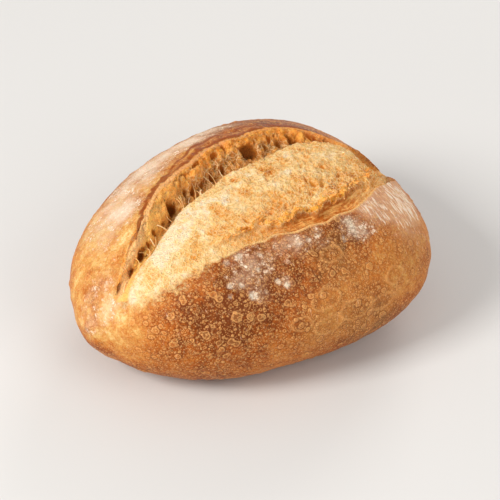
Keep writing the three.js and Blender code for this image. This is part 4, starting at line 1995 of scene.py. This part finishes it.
@dataclass(frozen=True)
class CrumbFinish:
    """Torn crumb: cream and yellow, toasted orange on its peaks, with painted shade that browns its
    pores and two brown stains.
    """

    run: Run = (
        (0.0, "F1DCBA"),
        (0.13, "EECB92"),
        (0.3, "E9B970"),
        (0.5, "E4A048"),
        (0.72, "DC8E2C"),
        (0.95, "B8681C"),
    )
    roughness: float = 0.8
    mottle: Grit = Grit(3.0, 4.0, 0.6)
    mottled: float = 1.1
    speckle: Grit = Grit(0.7, 3.0, 0.6)
    speckled: float = 0.3
    bend: Span = (1.8, 1.6)

    cell_size: float = 1.7
    cell_line: Span = (0.09, 0.0)
    fine_size: float = 0.85
    fine_line: Span = (0.1, 0.0)
    fine_share: float = 0.7
    net_size: float = 3.0
    net_bend: Span = (2.4, 3.0)
    net_line: Span = (0.06, 0.0)
    # Painted shade: the middles of the foam's cells, and the hollows of the relief, are darkened
    gap: Coat = Coat("E6B27E", 0.4, (0.08, 0.4), "MULTIPLY")
    hollow: Coat = Coat("E6B27E", 0.5, (0.0, -0.8), "MULTIPLY")
    strand: Coat = Coat("FCDCA4", 0.6, (-0.6, 0.1))
    thread_size: Span = (0.8, 3.0)
    thread: Coat = Coat("FCDCA4", 0.5, (0.04, 0.2))
    speck: Coat = Coat("C9B070", 0.2, (0.14, 0.25))
    cell_slope: Span = (0.25, 0.0)
    cell_height: float = 0.2
    fine_slope: Span = (0.3, 0.0)
    fine_height: float = 0.12
    speck_height: float = 0.3

    wall_end: Span = (7.5, 5.0)
    wall_mottle: float = 1.5
    wall: Coat = Coat("E58A2C", 0.75, (-0.5, 0.3))
    # Painted shade in the hollows between the wall's lumps
    wall_hollow_shade: Coat = Coat("A8520F", 0.7, (-0.1, -0.7))
    foot_mottle: float = 3.0
    foot_start: Span = (3.4, 4.8)
    # Painted light: the foot's darker tone is mostly left out at the narrow end
    foot_share_by_tip_light: Span = (1.0, 0.1)
    foot: Coat = Coat("B07A44", 0.75)
    fibre_size: Span = (2.4, 0.7)
    fibre_lift: float = 0.1
    fibre_height: float = 0.4
    # Painted highlight on the ridges of the wall's fibres, and painted shade in the furrows between
    # them
    wall_fibre_highlight: Coat = Coat("F8B456", 0.8, (0.04, 0.17))
    wall_furrow_shade: Coat = Coat("A8520F", 0.5, (-0.04, -0.18))
    membrane: Coat = Coat("F2CC96", 0.8, (0.12, 0.0))
    # Painted light: a light yellow laid over the torn wall at the narrow end
    tip_light_start: Span = (1.4, 2.8)
    tip_light_mottle: float = 1.2
    tip_light_share: float = 0.85
    tip: str = "FFC46A"

    band_mottle: float = 1.5
    band_start: Span = (-0.2, 0.8)
    band_calm: Span = (1.0, 0.4)
    stripe_size: Span = (5.0, 0.7)
    stripe_breaks: Grit = Grit(1.2, 3.0, 0.6, 0.5)
    stripe: Span = (-0.14, 0.2)
    stripes: Run = ((0.0, "B4601C"), (1.0, "EDB062"))
    stripe_share: float = 0.9
    # Painted shadow in a line under the ledge's crest
    under_line: Band = ((-0.4, 0.3), (1.4, 0.5))
    under: Coat = Coat("9C5014", 0.6)
    crest_mottle: float = 2.0
    crest_line: Band = ((-2.6, -1.4), (-0.1, -0.7))
    crest: Coat = Coat("F6AA34", 0.6)

    # Painted shade in the pores, browner where they are deeper; the two stains take the first brown
    pit_shade_and_stain: Coat = Coat("A8621F", 1.0, (0.12, 0.6))
    deep_pit_shade: Coat = Coat("7A4014", 0.8, (0.5, 1.2))

    def layer(self, patterns: Patterns) -> Layer:
        """Builds the finish.

        Args:
            patterns: The material's patterns.

        Returns:
            Colour, roughness and height in millimetres.
        """
        where = patterns.wavy(*self.bend)
        mottle, speck = patterns.grain(self.mottle), patterns.grain(self.speckle)
        toast = patterns.weight(Mask.TOAST) + mottle * self.mottled + speck * self.speckled
        walls, fine = patterns.walls(self.cell_size, where), patterns.walls(self.fine_size, where)
        net = patterns.walls(self.net_size, patterns.wavy(*self.net_bend)).step(*self.net_line)
        strand = walls.step(*self.cell_line).larger(fine.step(*self.fine_line) * self.fine_share)
        relief = patterns.weight(Mask.RELIEF)
        threads = patterns.grain(Grit(1.0), patterns.along_edge(Mask.FROM_LIP, *self.thread_size))
        # Painted shade in the cells and in the relief's hollows
        colour = toast.ramp(self.run).coated(self.gap, walls).coated(self.hollow, relief)
        colour = colour.coated(self.strand, relief, strand.larger(net))
        colour = colour.coated(self.thread, threads).coated(self.speck, speck)
        fibre = patterns.grain(Grit(1.0), patterns.along_edge(Mask.FROM_EAR, *self.fibre_size))
        on_wall = patterns.weight(Mask.FROM_EAR).step(*self.wall_end)
        colour = self.walled(colour, patterns, (mottle, walls, relief, fibre))
        on_band = (patterns.weight(Mask.LEDGE) + mottle * self.band_mottle).step(*self.band_start)
        on_band = on_band * patterns.weight(Mask.BAND)
        colour = self.ledged(colour, patterns, on_band, mottle)
        # Painted shade in the pores, and the two stains
        pore = patterns.weight(Mask.PORE)
        colour = colour.coated(self.pit_shade_and_stain, pore).coated(self.deep_pit_shade, pore)
        height = walls.step(*self.cell_slope) * self.cell_height
        height = height + fine.step(*self.fine_slope) * self.fine_height
        height = height + speck * self.speck_height
        height = height * on_band.within(*self.band_calm) + fibre * on_wall * self.fibre_height
        return Layer(colour, self.roughness, height)

    def walled(
        self, colour: Signal, patterns: Patterns, textures: tuple[Signal, Signal, Signal, Signal]
    ) -> Signal:
        """Paints the torn wall under the ear, with painted shade in its hollows and furrows, painted
        highlight on its fibres, and painted light at the narrow end.

        Args:
            colour: The crumb's colour.
            patterns: The material's patterns.
            textures: The mottle, the cells' walls, the relief and the wall's fibres.

        Returns:
            The painted colour.
        """
        mottle, walls, relief, fibre = textures
        from_ear, tip_light = patterns.weight(Mask.FROM_EAR), patterns.weight(Mask.TIP)
        on_wall = from_ear.step(*self.wall_end)
        lumps = relief + mottle * self.wall_mottle
        # The wall's orange, then painted shade in its hollows
        colour = colour.coated(self.wall, lumps, on_wall).coated(self.wall_hollow_shade, lumps, on_wall)
        foot = (from_ear + mottle * self.foot_mottle).step(*self.foot_start) * on_wall
        # Painted light: less of the foot's tone at the narrow end
        foot = foot * tip_light.within(*self.foot_share_by_tip_light)
        colour = colour.coated(self.foot, foot)
        # Painted highlight on the fibres, then painted shade between them
        colour = colour.coated(self.wall_fibre_highlight, fibre + relief * self.fibre_lift, on_wall)
        colour = colour.coated(self.wall_furrow_shade, fibre, on_wall)
        colour = colour.coated(self.membrane, walls, foot)
        # Painted light: the light yellow at the narrow end
        tip = tip_light * on_wall * from_ear.step(*self.tip_light_start)
        return colour.painted(tip * (mottle * self.tip_light_mottle + self.tip_light_share), self.tip)

    def ledged(
        self, colour: Signal, patterns: Patterns, on_band: Signal, mottle: Signal
    ) -> Signal:
        """Paints the dark band along the front lip, a painted shadow under its ledge's crest, and
        the bright crest.

        Args:
            colour: The crumb's colour.
            patterns: The material's patterns.
            on_band: Where the band lies.
            mottle: The crumb's mottle.

        Returns:
            The painted colour.
        """
        ledge, band = patterns.weight(Mask.LEDGE), patterns.weight(Mask.BAND)
        where = patterns.along_edge(Mask.FROM_LIP, *self.stripe_size)
        stripes = patterns.grain(Grit(1.0), where) + patterns.grain(self.stripe_breaks)
        striped = stripes.step(*self.stripe).ramp(self.stripes)
        colour = colour.painted(on_band * self.stripe_share, striped)
        # Painted shadow under the crest
        colour = colour.coated(self.under, ledge.band(*self.under_line) * band)
        rise, fall = self.crest_line
        crest = (ledge + mottle * self.crest_mottle).step(*rise) * ledge.step(*fall)
        return colour.coated(self.crest, crest * band)


@dataclass(frozen=True)
class BreadFinish:
    """The roll's whole finish: crust outside, crumb in the opened score."""

    name: str = "baked_bread"
    crust: CrustFinish = field(default_factory=CrustFinish)
    crumb: CrumbFinish = field(default_factory=CrumbFinish)
    gloss: float = 0.12
    glow: float = 0.12
    glow_depth: float = 1.5
    torn: Patch = Patch(Mask.CRUMB, Grit(1.4, 4.0, 0.7, 1.4), (0.2, 0.8))
    strip: str = "E2A068"
    # Painted light: a paler colour for the strip at the narrow end
    painted_light_strip: str = "F6C484"
    edge_grit: Grit = Grit(3.0, 4.0, 0.6, 2.0)
    edge_share: float = 0.7
    edge: str = "F8C27C"
    rim_patch: Patch = Patch(Mask.RIM, Grit(1.3, 4.0, 0.65, 0.9), (0.15, 0.85), 0.88)
    rim: str = "8C3F12"

    def material(self) -> bpy.types.Material:
        """Makes the material.

        Returns:
            The material.
        """
        material, shader = new_material(self.name)
        tree = material.node_tree
        patterns = Patterns(tree)
        crust, crumb = self.crust.layer(patterns), self.crumb.layer(patterns)
        torn, brow = patterns.patch(self.torn), patterns.weight(Mask.BROW)
        edge = patterns.weight(Mask.EDGE) * (patterns.grain(self.edge_grit) + self.edge_share)
        bread = crust.colour.painted(torn, crumb.colour).painted(brow, self.strip)
        # Painted light: the strip is paler at the narrow end
        bread = bread.painted(brow * patterns.weight(Mask.TIP), self.painted_light_strip)
        bread = bread.painted(edge, self.edge)
        bread = bread.painted(patterns.patch(self.rim_patch), self.rim)
        feed(tree, shader.inputs["Base Color"], bread)
        feed(tree, shader.inputs["Roughness"], torn.between(crust.roughness, crumb.roughness))
        shader.inputs["Specular IOR Level"].default_value = self.gloss
        shader.inputs["Subsurface Weight"].default_value = self.glow
        shader.inputs["Subsurface Scale"].default_value = self.glow_depth * MM
        bump = tree.nodes.new("ShaderNodeBump")
        bump.inputs["Distance"].default_value = MM
        feed(tree, bump.inputs["Height"], torn.between(crust.height, crumb.height))
        tree.links.new(bump.outputs["Normal"], shader.inputs["Normal"])
        return material


@dataclass(frozen=True)
class ShredFinish:
    """Thin shreds of crumb, cream to orange."""

    name: str = "shredded_crumb"
    run: Run = (
        (0.0, "FFE8C4"),
        (0.3, "FAD090"),
        (0.6, "EFA648"),
        (0.9, "D07C28"),
    )
    mottle: Grit = Grit(1.5, 3.0, 0.55, 0.5)
    roughness: float = 0.7
    glow: float = 0.2

    def material(self) -> bpy.types.Material:
        """Makes the material.

        Returns:
            The material.
        """
        material, shader = new_material(self.name)
        patterns = Patterns(material.node_tree)
        toast = patterns.weight(Mask.TOAST) + patterns.grain(self.mottle)
        feed(material.node_tree, shader.inputs["Base Color"], toast.ramp(self.run))
        shader.inputs["Roughness"].default_value = self.roughness
        shader.inputs["Subsurface Weight"].default_value = self.glow
        shader.inputs["Subsurface Scale"].default_value = MM
        return material


# ---------------------------------------------------------------- studio


@dataclass(frozen=True)
class Camera:
    """The camera: where it looks from, and how much it takes in."""

    azimuth: float = -38.75
    elevation: float = 38.0
    distance: float = 0.9
    focal_length: float = 200.2
    sensor: float = 36.0
    aim: Triple = (0.0, 0.0, 0.0273)
    shift: tuple[float, float] = (0.024, -0.0144)

    def build(self) -> None:
        """Makes the camera and gives it to the scene."""
        turn, rise = math.radians(self.azimuth), math.radians(self.elevation)
        back = Vector(
            (math.sin(turn) * math.cos(rise), -math.cos(turn) * math.cos(rise), math.sin(rise))
        )
        data = bpy.data.cameras.new("camera")
        data.sensor_width = self.sensor
        data.lens = self.focal_length
        data.shift_x, data.shift_y = self.shift
        camera = placed("camera", data)
        camera.location = Vector(self.aim) + back * self.distance
        camera.rotation_mode = "QUATERNION"
        camera.rotation_quaternion = (-back).to_track_quat("-Z", "Y")
        bpy.context.scene.camera = camera


@dataclass(frozen=True)
class SoftLight:
    """A square soft light that faces the roll."""

    name: str
    place: Triple
    size: float
    power: float
    colour: str = "FFFFFF"

    def build(self) -> None:
        """Makes the light."""
        data = bpy.data.lights.new(self.name, "AREA")
        data.size, data.energy = self.size, self.power
        data.color = tint(self.colour)[:3]
        light = placed(self.name, data)
        light.location = self.place
        light.rotation_mode = "QUATERNION"
        light.rotation_quaternion = (-light.location).to_track_quat("-Z", "Y")
        light.visible_camera = False


@dataclass(frozen=True)
class Studio:
    """The pale floor, the surrounding light and the lamps."""

    floor_size: float = 4.0
    floor_colour: str = "D6D3CF"
    floor_roughness: float = 0.8
    sky_colour: str = "FFFFFF"
    sky_strength: float = 0.45
    lights: tuple[SoftLight, ...] = (
        SoftLight("key", (-0.74, 0.08, 0.6), 0.35, 8.0),
        SoftLight("fill", (0.1, -0.8, 0.5), 0.7, 3.2),
        SoftLight("rim", (0.7, 0.4, 0.35), 0.4, 3.0),
    )

    def build(self) -> None:
        """Makes the floor, the surrounding light and the lamps."""
        mesh = bmesh.new()
        bmesh.ops.create_grid(mesh, x_segments=1, y_segments=1, size=self.floor_size / 2.0)
        data = bpy.data.meshes.new("floor")
        mesh.to_mesh(data)
        mesh.free()
        floor = placed("floor", data)
        material, shader = new_material("pale_floor")
        shader.inputs["Base Color"].default_value = tint(self.floor_colour)
        shader.inputs["Roughness"].default_value = self.floor_roughness
        data.materials.append(material)
        world = bpy.data.worlds.new("studio")
        world.use_nodes = True
        background = world.node_tree.nodes["Background"]
        background.inputs["Color"].default_value = tint(self.sky_colour)
        background.inputs["Strength"].default_value = self.sky_strength
        bpy.context.scene.world = world
        bpy.context.scene.view_settings.view_transform = "Standard"
        for light in self.lights:
            light.build()


# ---------------------------------------------------------------- the scene


def main() -> None:
    """Loads the frame, builds the roll and its studio, and notes the sizes."""
    logging.basicConfig(level=logging.INFO, format="%(message)s")
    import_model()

    form = Roll()
    roll = form.build()
    roll.data.materials.append(BreadFinish().material())
    shreds = Shreds(form).build()
    shreds.data.materials.append(ShredFinish().material())
    for piece in (roll, shreds):
        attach(piece, BODY)
        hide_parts(NODE)
        LOG.info("%s: %d faces", piece.name, len(piece.data.polygons))

    Studio().build()
    Camera().build()
    LOG.info("studio and camera")


if __name__ == "__main__":
    main()
